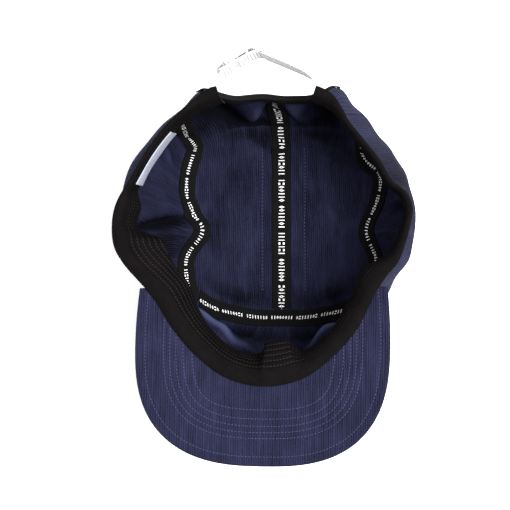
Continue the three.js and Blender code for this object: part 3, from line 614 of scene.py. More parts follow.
def quiltedTwill(name, look):
    # Fine cross-ribbed twill, sewn down in rows over wadding: brown and smooth along its outer edge, ridged
    # towards the free edge and painted darker there as shade, with dim threads sunk between the ridges. The
    # ribs are drawn coarser than real ones, so that they show.
    material, tree, shader = newMaterial(name)
    uv, u, v = clothMap(tree)
    wander = addNode(tree, "ShaderNodeTexNoise", {"Vector": uv, "Scale": 90.0, "Detail": 3.0})
    offset = addNode(tree, mathNode, {0: wander, 1: 0.5}, operation="SUBTRACT")
    bent = addNode(tree, mathNode, {0: offset, 1: look["drift"] * mm, 2: u}, operation="MULTIPLY_ADD")
    lengthwise = addNode(tree, mathNode, {0: v, 1: look["slope"], 2: bent}, operation="MULTIPLY_ADD")
    turns = addNode(tree, mathNode, {0: lengthwise, 1: fullTurn / (look["rib"] * mm)}, operation="MULTIPLY")
    ribs = addNode(tree, mathNode, {0: turns}, operation="SINE")
    shifted = addNode(tree, mathNode, {0: offset, 1: look["drift"] * mm / 2, 2: v}, operation="MULTIPLY_ADD")
    rows = addNode(tree, mathNode, {0: shifted, 1: look["ridge"] * mm}, operation="DIVIDE")
    within = addNode(tree, mathNode, {0: rows}, operation="FRACT")
    fromMiddle = addNode(tree, mathNode, {0: within, 1: 0.5}, operation="SUBTRACT")
    fromRow = addNode(tree, mathNode, {0: fromMiddle}, operation="ABSOLUTE")
    inner = addNode(tree, "ShaderNodeMapRange", {0: v, 1: look["plain"] * mm, 2: (look["plain"] + 3) * mm},
                    interpolation_type="SMOOTHSTEP")
    swell = addNode(tree, mathNode, {0: fromRow, 1: math.pi}, operation="MULTIPLY")
    hump = addNode(tree, mathNode, {0: swell}, operation="SINE")
    ridge = addNode(tree, mathNode, {0: hump, 1: inner}, operation="MULTIPLY")
    height = 0.0
    for part, share in ((ribs, look["ribHeight"]), (ridge, look["ridgeHeight"])):
        height = addNode(tree, mathNode, {0: part, 1: share, 2: height}, operation="MULTIPLY_ADD")
    fibre = addNode(tree, "ShaderNodeTexNoise", {"Vector": uv, "Scale": 500.0, "Detail": 3.0})
    # painted shade: the colour darkens in the ribs' hollows and over the inner part, where the band turns
    # from the light
    tone = 0.0
    for part, share in ((ribs, 0.22), (fibre, 1.0), (offset, 1.4), (inner, -0.25)):
        tone = addNode(tree, mathNode, {0: part, 1: share, 2: tone}, operation="MULTIPLY_ADD")
    cloth = addNode(tree, "ShaderNodeMix", {0: tone, 6: linear(look["dark"]), 7: linear(look["light"])},
                    data_type="RGBA", clamp_factor=True)
    sunk = addNode(tree, mathNode, {0: fromRow, 1: 0.09}, operation="LESS_THAN")
    stitch = addNode(tree, mathNode, {0: u, 1: look["stitch"] * mm}, operation="DIVIDE")
    inStitch = addNode(tree, mathNode, {0: stitch}, operation="FRACT")
    dashes = addNode(tree, mathNode, {0: inStitch, 1: 0.6}, operation="LESS_THAN")
    shown = addNode(tree, mathNode, {0: sunk, 1: dashes}, operation="MULTIPLY")
    thread = addNode(tree, mathNode, {0: shown, 1: inner}, operation="MULTIPLY")
    colour = addNode(tree, "ShaderNodeMix", {0: thread, 6: cloth.outputs[2], 7: linear(look["thread"])},
                     data_type="RGBA")
    finishCloth(tree, shader, colour.outputs[2], height, look)
    return material


def plainMaterial(name, hexColour, roughness, specular):
    material, tree, shader = newMaterial(name)
    shader.inputs["Base Color"].default_value = linear(hexColour)
    shader.inputs["Roughness"].default_value = roughness
    shader.inputs["Specular IOR Level"].default_value = specular
    return material


# the crown's soft cloth: blue-black and dull, with clear ribs, long streaks and slanting creases, and a
# paler blue for its painted highlights
crownCloth = ribbedNylon("navyRibbedNylon", {
    "groove": "#08080e", "crownColour": "#26273e", "paintedHighlight": "#4b5175",
    "ribSpacing": 1.35, "stripeSpacing": 5.4, "pickSpacing": 2.2,
    "stripe": 0.0, "ribTone": 0.3, "drift": 2.0, "mottle": 0.6, "weave": 0.7,
    "streak": 3.0, "streakWidth": 1.3, "streakLength": 16.0, "streakSlope": 0.08,
    "crease": 1.0, "creaseTurn": 28, "darkest": -0.04,
    "bump": 0.5, "bumpDepth": 0.4, "roughness": 0.85, "specular": 0.02})
# the same cloth drawn tight over the peak's board: straighter ribs and a slightly paler, smoother face,
# with its own paler blue for painted highlights
peakCloth = ribbedNylon("navyRibbedNylonOverBoard", {
    "groove": "#0c0c15", "crownColour": "#272840", "paintedHighlight": "#3c3e60",
    "ribSpacing": 1.5, "stripeSpacing": 3.0, "pickSpacing": 1.9,
    "stripe": 0.1, "ribTone": 0.28, "drift": 0.8, "mottle": 0.6, "weave": 0.7,
    "streak": 3.6, "streakWidth": 1.7, "streakLength": 22.0, "streakSlope": 0.02,
    "crease": 0.6, "creaseTurn": 6, "darkest": -0.06,
    "bump": 0.5, "bumpDepth": 0.4, "roughness": 0.85, "specular": 0.03})
# the sweatband's padded twill: brown-black, with rows that catch a thin line of light, and painted shade
# towards its free edge
bandTwill = quiltedTwill("blackBrownQuiltedTwill", {
    "dark": "#040303", "light": "#0e0a0b", "thread": "#241f20", "rib": 1.3, "slope": 0.35, "ridge": 3.7,
    "plain": 9.0, "stitch": 2.2, "drift": 1.2, "ribHeight": 0.35, "ridgeHeight": 2.0,
    "bump": 0.6, "bumpDepth": 0.5, "roughness": 0.8, "specular": 0.06})
# flat black tape: almost no shine, so that it reads as a plain dark line
tapeLook = {
    "dark": "#040404", "light": "#100e0f", "rows": 1.1, "cross": 0.9, "rowDepth": 0.3, "crossDepth": 0.3,
    "bump": 0.6, "bumpDepth": 0.4, "roughness": 0.8, "specular": 0.12}
tapeWeave = plainWeave("blackWovenTape", tapeLook)
# seam tape with white figures woven in: crisp white on black, tall on the centre tape, small on the others
seamTape = {**tapeLook, "dark": "#030303", "light": "#0c0a0b", "specular": 0.1}
markedTape = plainWeave("blackTapeWovenWithWhiteMarks", {
    **seamTape, "marks": {"pitch": 2.3, "tall": 4.2, "group": 8, "white": "#ececee"}})
smallMarkedTape = plainWeave("blackTapeWovenWithSmallWhiteMarks", {
    **seamTape, "marks": {"pitch": 1.95, "tall": 2.7, "group": 9, "white": "#ececee"}})
# white webbing with ribs across it, which shade it just enough to tell it from the ground
whiteRib = plainWeave("whiteRibbedWebbing", {
    "dark": "#f4f4f6", "light": "#ffffff", "rows": 9.0, "cross": 2.2, "rowDepth": 0.0, "crossDepth": 0.9,
    "bump": 0.6, "bumpDepth": 0.4, "roughness": 0.7, "specular": 0.3})
# pale grey satin, a little glossier than the cloths round it
labelSatin = plainWeave("paleSatinLabel", {
    "dark": "#8d909e", "light": "#b9bcca", "rows": 0.8, "cross": 0.8, "rowDepth": 0.2, "crossDepth": 0.2,
    "bump": 0.6, "bumpDepth": 0.4, "roughness": 0.5, "specular": 0.4})
# smooth white plastic with a soft shine
slidePlastic = plainMaterial("whiteMouldedAcetal", "#e6e6e6", 0.35, 0.5)
# spun thread, paler than the cloth, so that each stitch shows
navyThread = plainMaterial("navyThread", "#404260", 0.7, 0.2)
print("materials made")

archShare = crown["archWidth"] / (180 - crown["backSeam"][0])


def columnShares(fine, rest):
    near = archShare * np.sin(np.linspace(0, math.pi / 2, fine + 1))
    return np.concatenate([near, np.linspace(archShare, 1, rest + 1)[1:]])


def archEdge(share):
    # how deep the back opening is, at a share of the way from the middle of the back to the back seam
    inside = np.clip(1 - (np.asarray(share, float) / archShare) ** 3, 0, None)
    return crown["archDepth"] * np.cbrt(inside)


def gapAngle(angle, t):
    # half the gap of a seam, in degrees
    point = crownPoint(angle, t)
    return np.degrees(crown["gap"] / 2 / np.hypot(point[..., 0], point[..., 1] - crown["axisY"]))


def wallPanel(name, angleAt, columns, rows):
    share = np.linspace(0, 1, columns + 1)[None, :]
    # the rows crowd towards the foot, and end just above it
    t = (1 - (1 - np.linspace(0, 1, rows + 1)) ** 1.15)[:, None] * 0.9965
    angle, t = np.broadcast_arrays(angleAt(share, t), t)
    grids = [inward(angle, t, depth) for depth in (0.0, crown["cloth"])]
    middle = rows // 2
    u = np.broadcast_to(lengthAlong(grids[1][middle:middle + 1], 1), angle.shape)
    uv = np.stack([u, lengthAlong(grids[1], 0)], -1)
    # the folds' tone goes on as painted light and shade
    return sheetPiece(name, grids, uv, paintedShading=foldSum(angle, t, "tone"))


def frontAngle(share, t):
    seam = seamAngle(crown["frontSeam"], t)
    return (2 * share - 1) * (seam - gapAngle(seam, t))


def sideAngle(hand):
    def at(share, t):
        front, back = seamAngle(crown["frontSeam"], t), seamAngle(crown["backSeam"], t)
        return hand * lerp(front + gapAngle(front, t), back - gapAngle(back, t), share)
    return at


def floorPlace(hand, share, b):
    # a place of half the flat top: share runs from the centre seam to the side, b from front to back
    inside = 1.0017  # just within the foot of the wall
    front, back = crown["frontSeam"][1], crown["backSeam"][1]

    def footAt(angle):
        return crownPoint(hand * angle, inside)[..., :2]

    share3, b3 = share[..., None], b[..., None]
    middle = footAt(0.0) * (1 - b3) + footAt(180.0) * b3
    return ((1 - b3) * footAt(front * share) + b3 * footAt(lerp(180, back, share))
            + (1 - share3) * middle + share3 * footAt(lerp(front, back, b))
            - (1 - share3) * ((1 - b3) * footAt(0.0) + b3 * footAt(180.0))
            - share3 * ((1 - b3) * footAt(front) + b3 * footAt(back)))


def topPanel(name, hand):
    # half the flat top, and above it the back wall up to the back opening, where the columns crowd together
    share = columnShares(50, 16)
    floorRows, wallRows = 90, 46
    s, b = np.meshgrid(share, np.linspace(0, 1, floorRows + 1))
    place = floorPlace(hand, s, b)
    x = place[..., 0] + hand * (1 - s) * crown["gap"] / 2
    sWall, climb = np.meshgrid(share, np.linspace(0, 1, wallRows + 1)[1:])
    t = 1 - climb * (1 - archEdge(sWall))
    back = seamAngle(crown["backSeam"], t)
    near = np.degrees(crown["gap"] / 2 / footRadius(180.0))
    angle = hand * lerp(180 - (1 - sWall) * near, back + gapAngle(back, t), sWall)
    grids = []
    for depth in (0.0, crown["cloth"]):
        grids.append(np.concatenate([onFloor(x, place[..., 1], depth), inward(angle, t, depth)]))
    u = np.concatenate([x, np.broadcast_to(x[-1], angle.shape)])
    # the tone of the top and of the back wall goes on as painted light and shade
    paintedShading = np.concatenate([floorSum(x, place[..., 1], "tone"), foldSum(angle, t, "tone")])
    return sheetPiece(name, grids, np.stack([u, lengthAlong(grids[1], 0)], -1), paintedShading=paintedShading)


wallGrid = (130, 80)
dress(wallPanel("frontPanel", frontAngle, *wallGrid), crownCloth, "navy_cloth", "front_panel")
for hand, side in ((-1, "left"), (1, "right")):
    sidePanel = wallPanel(f"sidePanel_{side}", sideAngle(hand), *wallGrid)
    dress(sidePanel, crownCloth, "navy_cloth", f"side_panel_{side}")
    dress(topPanel(f"topPanel_{side}", hand), crownCloth, "navy_cloth", f"top_panel_{side}")
print("panels made")

peak = {
    "thickness": 3.0, "halfWidth": 82.2, "middleX": -0.9, "roundness": 2.6,
    "frontY": -135.5, "widestY": -57, "endY": -21, "endAngle": 66.5, "roundEdge": 3.0, "edgeHalf": 0.35,
    "rows": (6.2, 17.8, 21.6, 25.6, 30.2, 36.0), "rowDent": 0.32, "rowWidth": 0.9,
    "edgeDent": 0.25, "edgeDentAt": 3.6, "edgeDentWidth": 0.8, "puff": 0.12,
}


def peakReach(direction):
    # how far the peak's outline is from the middle of its back edge, found by halving
    farthest, halvings = 271.0, 40
    low, high = np.zeros_like(direction), np.full_like(direction, farthest)
    sin, cos = np.sin(direction), np.cos(direction)
    for _ in range(halvings):
        middle = (low + high) / 2
        x, y = np.abs(middle * sin), peak["endY"] - middle * cos
        behind = x < peak["halfWidth"] - 2 * ((y - peak["widestY"]) / (peak["endY"] - peak["widestY"])) ** 2
        depth = np.clip((y - peak["widestY"]) / (peak["frontY"] - peak["widestY"]), 0, None)
        ahead = (x / peak["halfWidth"]) ** peak["roundness"] + depth ** peak["roundness"] < 1
        inside = np.where(y > peak["widestY"], behind, ahead)
        low, high = np.where(inside, middle, low), np.where(inside, high, middle)
    return low


def peakOutline(count):
    # the peak's inner edge along the rim, and the place of its outer edge opposite each point of it
    angle = np.linspace(-peak["endAngle"], peak["endAngle"], count)
    inner = polar(angle, rimRadius(angle) + crown["gap"] - 0.1, 0)
    direction = np.arctan2(inner[:, 0] - peak["middleX"], peak["endY"] - inner[:, 1])
    reach = peakReach(direction)
    outer = vec(peak["middleX"] + reach * np.sin(direction), peak["endY"] - reach * np.cos(direction), 0)
    return inner, outer


def edgeDistance(points, outline):
    # distance of each point from a polyline
    best = np.full(points.shape[:-1], 1e9)
    for a, b in zip(outline[:-1, :2], outline[1:, :2]):
        span = b - a
        u = np.clip(((points[..., :2] - a) @ span) / max(span @ span, 1e-9), 0, 1)
        best = np.minimum(best, np.linalg.norm(points[..., :2] - a - u[..., None] * span, axis=-1))
    return best


def makePeak():
    inner, outer = peakOutline(241)
    rows = 1 - (1 - np.linspace(0, 1, 91)) ** 1.25
    place = inner[None] + (outer - inner)[None] * rows[:, None, None]
    distance = edgeDistance(place, peakOutline(160)[1])
    distance[-1] = 0
    fullness = np.sqrt(np.clip(1 - (1 - np.clip(distance / peak["roundEdge"], 0, 1)) ** 2, 0, 1))
    half = lerp(peak["edgeHalf"], peak["thickness"] / 2, fullness)
    for row in peak["rows"]:  # the cloth is drawn in along each row of stitches
        half = half - peak["rowDent"] * gauss((distance - row) / peak["rowWidth"])
    half = half - peak["edgeDent"] * gauss((distance - peak["edgeDentAt"]) / peak["edgeDentWidth"])
    puff = peak["puff"] * waviness(place[..., 0] * 0.2, place[..., 1] * 0.2, 21)
    middle = peakHeight(place[..., 0], place[..., 1]) - peak["thickness"] / 2
    grids = []
    for side in (1, -1):
        grid = place.copy()
        grid[..., 2] = middle + side * (half + puff * fullness)
        grids.append(grid)
    return sheetPiece("peakBoard", grids, place[..., :2], sharp=60)


dress(makePeak(), peakCloth, "peak_cloth", "peak")
print("peak made")

band = {"thickness": 1.2, "gap": 0.4, "overhang": 0.7, "rise": 3.0, "sag": 0.7}
# how far the band's free edge reaches inwards and hangs down, and how wide its shoulder is
bandSections = table(
    "angle reach drop shoulder",
    # the left side, where the band hangs close to the wall
    (-162.5, 9, 17, 10),
    (-157, 8, 22, 9),
    (-152, 5, 24, 7),
    (-146, 3, 25, 5),
    (-138, 2, 26, 4.9),
    (-110, 2.4, 26, 4.9),
    (-103, 10.5, 25, 9),
    (-93.5, 12.5, 24, 10),
    # at the left corner it lies flat
    (-88.5, 31, 7, 14),
    (-79, 28, 7, 14),
    # the front, behind the peak
    (-69, 22.5, 14, 13),
    (-45, 18.5, 19, 13),
    (-32, 15.5, 20, 12),
    (-12, 17, 20, 12),
    # the step in the middle of the front
    (-3.5, 19, 18, 12),
    (0, 27, 9, 14),
    (12, 25, 9, 14),
    (15.5, 16, 19, 12),
    (24, 13.5, 20, 12),
    (35, 13.5, 20, 12),
    (45, 15, 20, 12),
    (56, 12.5, 20, 10),
    (66, 14, 17, 11),
    (72, 15.5, 13, 11),
    # the right side
    (78, 12, 18, 10),
    (84, 8, 24, 7),
    (96, 6.5, 25, 5.5),
    (108, 5, 25.5, 5),
    (140, 4.3, 25.5, 4.8),
    (147, 5, 25, 6),
    (154, 8, 23, 9),
    (160.5, 9, 19, 10),
)


def bandMiddle(angle, v):
    # radius and height of the band's middle, from the rim (v 0) to its free edge (v 1)
    shoulder, reach = along(bandSections, "shoulder", angle), along(bandSections, "reach", angle)
    drop = along(bandSections, "drop", angle)
    inFront = 1 - smooth(np.abs(angle), 84, 96)
    sag = band["sag"] * waviness(angle * 0.16, v * 3, 31) * v * inFront
    inwards = 2 * (1 - v) * v * shoulder + v * v * reach - (1 - v) ** 2 * band["overhang"]
    radius = rimRadius(angle) - inwards + sag
    top = rimHeight(angle) + band["gap"] + band["thickness"] / 2
    return radius, top + 2 * (1 - v) * v * band["rise"] - v * v * drop + 0.6 * sag


def besideBand(angle, v, depth):
    # a place depth mm from the band's middle, square to it
    radius, height = bandMiddle(angle, v)
    laterR, laterH = bandMiddle(angle, v + 0.01)
    earlierR, earlierH = bandMiddle(angle, v - 0.01)
    size = np.hypot(laterR - earlierR, laterH - earlierH)
    alongR, alongH = (laterR - earlierR) / size, (laterH - earlierH) / size
    return polar(angle, radius + alongH * depth, height - alongR * depth)


def makeSweatband():
    columns, rows = 600, 32
    angle, v = np.meshgrid(np.linspace(bandSections[0]["angle"], bandSections[-1]["angle"], columns + 1),
                           np.linspace(0, 1, rows + 1))
    # half its thickness, less towards its two edges
    half = band["thickness"] / 2 * np.sqrt(np.clip(1 - (2 * v - 1) ** 12, 0.15, 1))
    grids = [besideBand(angle, v, -half), besideBand(angle, v, half)]
    middle = rows // 2
    u = np.broadcast_to(lengthAlong(grids[1][middle:middle + 1], 1), angle.shape)
    uv = np.stack([u, lengthAlong(grids[1], 0)], -1)
    return sheetPiece("sweatbandTwill", grids, uv)


dress(makeSweatband(), bandTwill, "black_twill", "sweatband")
print("sweatband made")

tape = {"width": 13.0, "thickness": 1.0, "edgeThinner": 0.35, "centreEdgeThinner": 0.2, "belowArch": 0.075}
frontTape = {"endShort": 2.6, "slant": 6.5, "places": 140}


def smoothPath(points, passes=6):
    points = points.copy()
    for _ in range(passes):
        points[1:-1] = (points[:-2] + 2 * points[1:-1] + points[2:]) / 4
    return points


def walk(angle, t, direction, distance):
    # angle and t after going a distance in mm along the cloth
    steps = 4
    for _ in range(steps):
        across = crownPoint(angle + 0.5, t) - crownPoint(angle - 0.5, t)
        down = (crownPoint(angle, t + 0.015) - crownPoint(angle, t - 0.015)) / 0.03
        aa, dd, ad = (across ** 2).sum(-1), (down ** 2).sum(-1), (across * down).sum(-1)
        da = (direction * across).sum(-1) * distance / steps
        db = (direction * down).sum(-1) * distance / steps
        det = aa * dd - ad * ad
        angle = angle + (da * dd - db * ad) / det
        t = t + (db * aa - da * ad) / det
    return angle, t


def tapeOn(name, angle, t, slant=0.0):
    # a tape along a path of places, on the lining side of the cloth; the slant, in degrees, makes its first
    # side longer than its last
    middle = smoothPath(crownPoint(angle, t))
    forward = np.gradient(middle, axis=0)
    sideways = unit(np.cross(forward, crownNormal(angle, t)))
    across = np.linspace(-0.5, 0.5, 9)
    askew = slant * np.linspace(1, -1, len(middle))
    rows = []
    for share in across:
        a, h = walk(angle, t, sideways, tape["width"] * share)
        rows.append((a + askew * share, h))
    grids = []
    for side in (0, 1):
        depth = crown["cloth"] + crown["tapeGap"] + side * tape["thickness"]
        lines = []
        for (a, h), share in zip(rows, across):
            thinner = tape["edgeThinner"] * side * (abs(share) == across[-1])
            lines.append(smoothPath(inward(a, h, depth - thinner), 2))
        grids.append(np.stack(lines, 1))
    uv = np.stack(np.broadcast_arrays(lengthAlong(middle, 0)[:, None], (across * tape["width"])[None, :]), -1)
    return sheetPiece(name, grids, uv, backShift=tape["width"])  # the marks show on the lining side only


def sideTapePath(hand):
    # down the front seam, along the foot of the wall, and up the back seam. Each rounded corner starts at the
    # height turnAt of its seam and takes so many degrees of the foot.
    corner, turnAt = 7.0, 0.86
    front, back = crown["frontSeam"], crown["backSeam"]
    down = np.linspace(0.06, turnAt, 40)
    first, last = front[1] + corner, back[1] - corner
    turn = np.linspace(0, math.pi / 2, 18)[1:-1]
    angle = [seamAngle(front, down)]
    t = [down]
    angle.append(lerp(seamAngle(front, turnAt), first, 1 - np.cos(turn)))
    t.append(lerp(turnAt, 1, np.sin(turn)))
    angle.append(np.linspace(first, last, 150))
    t.append(np.ones(150))
    angle.append(lerp(last, seamAngle(back, turnAt), np.sin(turn)))
    t.append(lerp(1, turnAt, 1 - np.cos(turn)))
    angle.append(seamAngle(back, down[::-1]))
    t.append(down[::-1])
    return hand * np.concatenate(angle), np.concatenate(t)


def centreTape():
    # along the flat top's middle seam and up the back wall, almost to the back opening
    start = crownPoint(0.0, 1.0)[1] + tape["width"] / 2 + crown["gap"]
    end = crownPoint(180.0, 1.0)[1]
    across = np.linspace(-0.5, 0.5, 9) * tape["width"]
    y = np.linspace(start, end, 110)
    climb = np.linspace(1, crown["archDepth"] + tape["belowArch"], 46)[1:]
    grids = []
    for side in (0, 1):
        depth = crown["cloth"] + crown["tapeGap"] + side * tape["thickness"]
        xs, ys = np.meshgrid(across, y)
        floor = onFloor(xs, ys, depth)
        xs, t = np.meshgrid(across, climb)
        radius = crown["axisY"] - crownPoint(180.0, climb)[:, 1]
        wall = inward(180 + np.degrees(xs / radius[:, None]), t, depth)
        grid = np.concatenate([floor, wall])
        if side:
            grid[:, [0, -1], 2] -= tape["centreEdgeThinner"]
        grids.append(smoothPath(grid, 3))
    length = lengthAlong(grids[1][:, len(across) // 2], 0)
    uv = np.stack(np.broadcast_arrays(length[:, None], across[None, :]), -1)
    return sheetPiece("centreTapeWeave", grids, uv, backShift=tape["width"])


for hand, side in ((-1, "left"), (1, "right")):
    dress(tapeOn(f"sideTape_{side}", *sideTapePath(hand)), smallMarkedTape, "seam_tape", f"side_tape_{side}")
frontEnd = crown["frontSeam"][1] - frontTape["endShort"]
frontPath = np.linspace(-frontEnd, frontEnd, frontTape["places"])
dress(tapeOn("frontTapeWeave", frontPath, np.ones_like(frontPath), frontTape["slant"]),
      smallMarkedTape, "seam_tape", "front_tape")
dress(centreTape(), markedTape, "seam_tape", "centre_tape")
print("tapes made")

binding = {"thickness": 0.8, "width": 6.0, "gap": 0.5, "end": 0.2, "outerWidth": 4.0}


def archBinding():
    # a folded tape that grips the edge of the back opening, drawn out along it from its section
    outer, face = -binding["gap"] - binding["thickness"], crown["cloth"] + binding["gap"]
    section = np.array([
        [outer + 0.4, outer], [binding["outerWidth"] - 0.3, outer], [binding["outerWidth"], outer + 0.3],
        [binding["outerWidth"], -binding["gap"]], [-binding["gap"], -binding["gap"]],
        [-binding["gap"], face], [binding["width"], face],
        [binding["width"], face + binding["thickness"] - 0.3],
        [binding["width"] - 0.3, face + binding["thickness"]],
        [outer + 0.4, face + binding["thickness"]], [outer, face + 0.4], [outer, outer + 0.4]])
    last = math.asin(np.cbrt(1 - (binding["end"] / crown["archDepth"]) ** 3))
    share = archShare * np.sin(np.linspace(-last, last, 141))
    t = archEdge(np.abs(share))
    angle = 180 + share * (180 - seamAngle(crown["backSeam"], t))
    points = smoothPath(crownPoint(angle, t), 3)
    normal = crownNormal(angle, t)
    into = unit(np.cross(normal, np.gradient(points, axis=0)))
    loops = []
    for x, y in section:
        a, h = walk(angle, t, into, x)
        loops.append(smoothPath(inward(a, h, y), 2))
    return sweepPiece("archBindingTape", section, np.stack(loops, 1), lengthAlong(points, 0))


dress(archBinding(), tapeWeave, "black_binding", "arch_binding")
print("binding made")

strap = {"width": 20.0, "thickness": 1.4, "height": 82.0, "lean": 0.13, "depth": 4.6}
slide = {"x": -18.5, "y": 126.7, "turn": 30.0, "length": 17.0, "bar": 2.0, "thickness": 2.0}
loopOut = slide["thickness"] / 2 + crown["gap"] + strap["thickness"] / 2


def wallAt(angle, height):
    # where the wall is at a height, found by halving
    low, high, halvings = 0.0, 1.0, 30
    for _ in range(halvings):
        middle = (low + high) / 2
        low, high = (middle, high) if crownPoint(angle, middle)[2] > height else (low, middle)
    return low


def cornerPlace(angle):
    # a place of the webbing inside the corner of the back opening, where it lies along the wall
    top = inward(angle, wallAt(angle, strap["height"] + strap["width"] / 2), strap["depth"])
    bottom = inward(angle, wallAt(angle, strap["height"] - strap["width"] / 2), strap["depth"])
    middle, lean = (top + bottom) / 2, (top - bottom) / strap["width"]
    return [middle[0], middle[1], lean[0], lean[1]]


def besideSlide(alongIt, out):
    # a place of the webbing measured from the middle of the slide
    a = math.radians(slide["turn"])
    return [slide["x"] + alongIt * math.cos(a) - out * math.sin(a),
            slide["y"] + alongIt * math.sin(a) + out * math.cos(a), 0, strap["lean"]]


def halfTurn(centre, hand):
    # the webbing's turn round a bar of the slide
    slack = 0.3
    reach = slide["bar"] / 2 + crown["gap"] + strap["thickness"] / 2 + slack
    turns = [share * math.pi for share in (0.1, 0.3, 0.5, 0.7, 0.9)]
    return [besideSlide(centre + hand * reach * math.sin(a), (loopOut + slack) * math.cos(a)) for a in turns]


def splineThrough(points, perSpan=8):
    # a smooth curve through the points, with even tension
    points = np.asarray(points, float)
    knots = np.concatenate([[0], np.cumsum(np.linalg.norm(np.diff(points[:, :2], axis=0), axis=1) ** 0.5)])
    slopes = np.gradient(points, knots, axis=0)
    out = []
    for i in range(len(points) - 1):
        u = np.linspace(0, 1, perSpan + 1)[:, None]
        u = u if i == len(points) - 2 else u[:-1]
        h = knots[i + 1] - knots[i]
        out.append((2 * u ** 3 - 3 * u ** 2 + 1) * points[i] + (u ** 3 - 2 * u ** 2 + u) * h * slopes[i]
                   + (3 * u ** 2 - 2 * u ** 3) * points[i + 1] + (u ** 3 - u ** 2) * h * slopes[i + 1])
    return np.concatenate(out)


def webbing(name, places):
    path = splineThrough(places)
    forward = unit(np.gradient(path[:, :2], axis=0))
    normal = np.stack([-forward[:, 1], forward[:, 0]], -1)
    up = np.linspace(-0.5, 0.5, 13)
    fullness = np.sqrt(np.clip(1 - np.abs(2 * up) ** 10, 0.25, 1))  # less towards its two edges
    grids = []
    for side in (-0.5, 0.5):
        off = side * strap["thickness"] * fullness
        x = path[:, None, 0] + normal[:, None, 0] * off + path[:, None, 2] * up * strap["width"]
        y = path[:, None, 1] + normal[:, None, 1] * off + path[:, None, 3] * up * strap["width"]
        grids.append(vec(x, y, strap["height"] + up * strap["width"]))
    length = lengthAlong(path[:, :2], 0)
    uv = np.stack(np.broadcast_arrays(length[:, None], (up * strap["width"])[None, :]), -1)
    return sheetPiece(name, grids, uv)


# the places that each webbing runs through: x, y, and how far its upper edge leans in x and y
rightPlaces = [
    cornerPlace(149.0), cornerPlace(154.0), cornerPlace(158.5), [34, 103.6, 0.08, 0], [34.2, 108, 0, 0.02],
    [31, 113, 0, 0.05], [26, 116.8, 0, 0.1], [10, 124.2, 0, 0.13], [-1, 129, 0, 0.13],
    besideSlide(12.2, 0.2), besideSlide(9.6, loopOut + 0.2), besideSlide(2, loopOut + 0.1), *halfTurn(0, -1),
    besideSlide(2, -loopOut - 0.1), besideSlide(8, -loopOut - 0.2), besideSlide(13, -loopOut - 1.4),
    besideSlide(18, -loopOut - 5.5)]
leftBar = (slide["bar"] - slide["length"]) / 2
leftPlaces = [
    cornerPlace(-149.0), cornerPlace(-154.0), cornerPlace(-158.5), [-34.2, 103.6, -0.08, 0],
    [-35.4, 107.2, 0, 0.02], [-37, 111.2, 0, 0.05], [-35, 115.6, 0, 0.1],
    besideSlide(leftBar - 5, loopOut + 1), besideSlide(leftBar - 1, loopOut + 0.1), *halfTurn(leftBar, 1),
    besideSlide(leftBar - 1, -loopOut - 0.1), besideSlide(leftBar - 6, -loopOut + 0.3)]
dress(webbing("strapWebbing_right", rightPlaces), whiteRib, "white_webbing", "strap_right")
dress(webbing("strapWebbing_left", leftPlaces), whiteRib, "white_webbing", "strap_left")


def bevelledCopy(node, name, width):
    # the solid's own shape with its edges softened
    piece = newObject(name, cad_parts[node].data.copy())
    weld = piece.modifiers.new("weld", "WELD")
    weld.merge_threshold = 0.00001
    bevel = piece.modifiers.new("bevel", "BEVEL")
    bevel.width = width * mm
    bevel.segments = 3
    bevel.limit_method = "ANGLE"
    evaluated = piece.evaluated_get(bpy.context.evaluated_depsgraph_get())
    piece.data = bpy.data.meshes.new_from_object(evaluated)
    piece.modifiers.clear()
    piece.data.shade_smooth()
    piece.data.set_sharp_from_angle(angle=math.radians(50))
    return piece


dress(bevelledCopy("slide_buckle", "slideFrame", 0.5), slidePlastic, "white_plastic", "slide_buckle")
print("strap made")

label = {"from": -138.0, "to": -112.0, "top": 0.48, "bottom": 0.97, "thickness": 0.8, "curl": 0.4}


def careLabel():
    # it lies on the band, and its lower edge curls up a little
    angle, v = np.meshgrid(np.linspace(label["from"], label["to"], 41),
                           np.linspace(label["top"], label["bottom"], 17))
    below = band["thickness"] / 2 + band["gap"]
    lift = label["curl"] * (1 + np.sin(angle * 0.35 + v * 2)) * (v - label["top"])
    grids = [besideBand(angle, v, below + lift), besideBand(angle, v, below + label["thickness"] + lift)]
    uv = np.stack([lengthAlong(grids[1], 1), lengthAlong(grids[1], 0)], -1)
    return sheetPiece("careLabelSatin", grids, uv)


dress(careLabel(), labelSatin, "pale_satin", "care_label")
print("label made")

peakStitch = {"spacing": 2.3, "length": 1.6, "radius": 0.2, "sunk": 0.22, "clear": 0.8}
topStitch = {"spacing": 2.4, "length": 1.5, "radius": 0.16, "above": 0.05, "x": (-13.6, 16.2), "y": (-24, 74)}


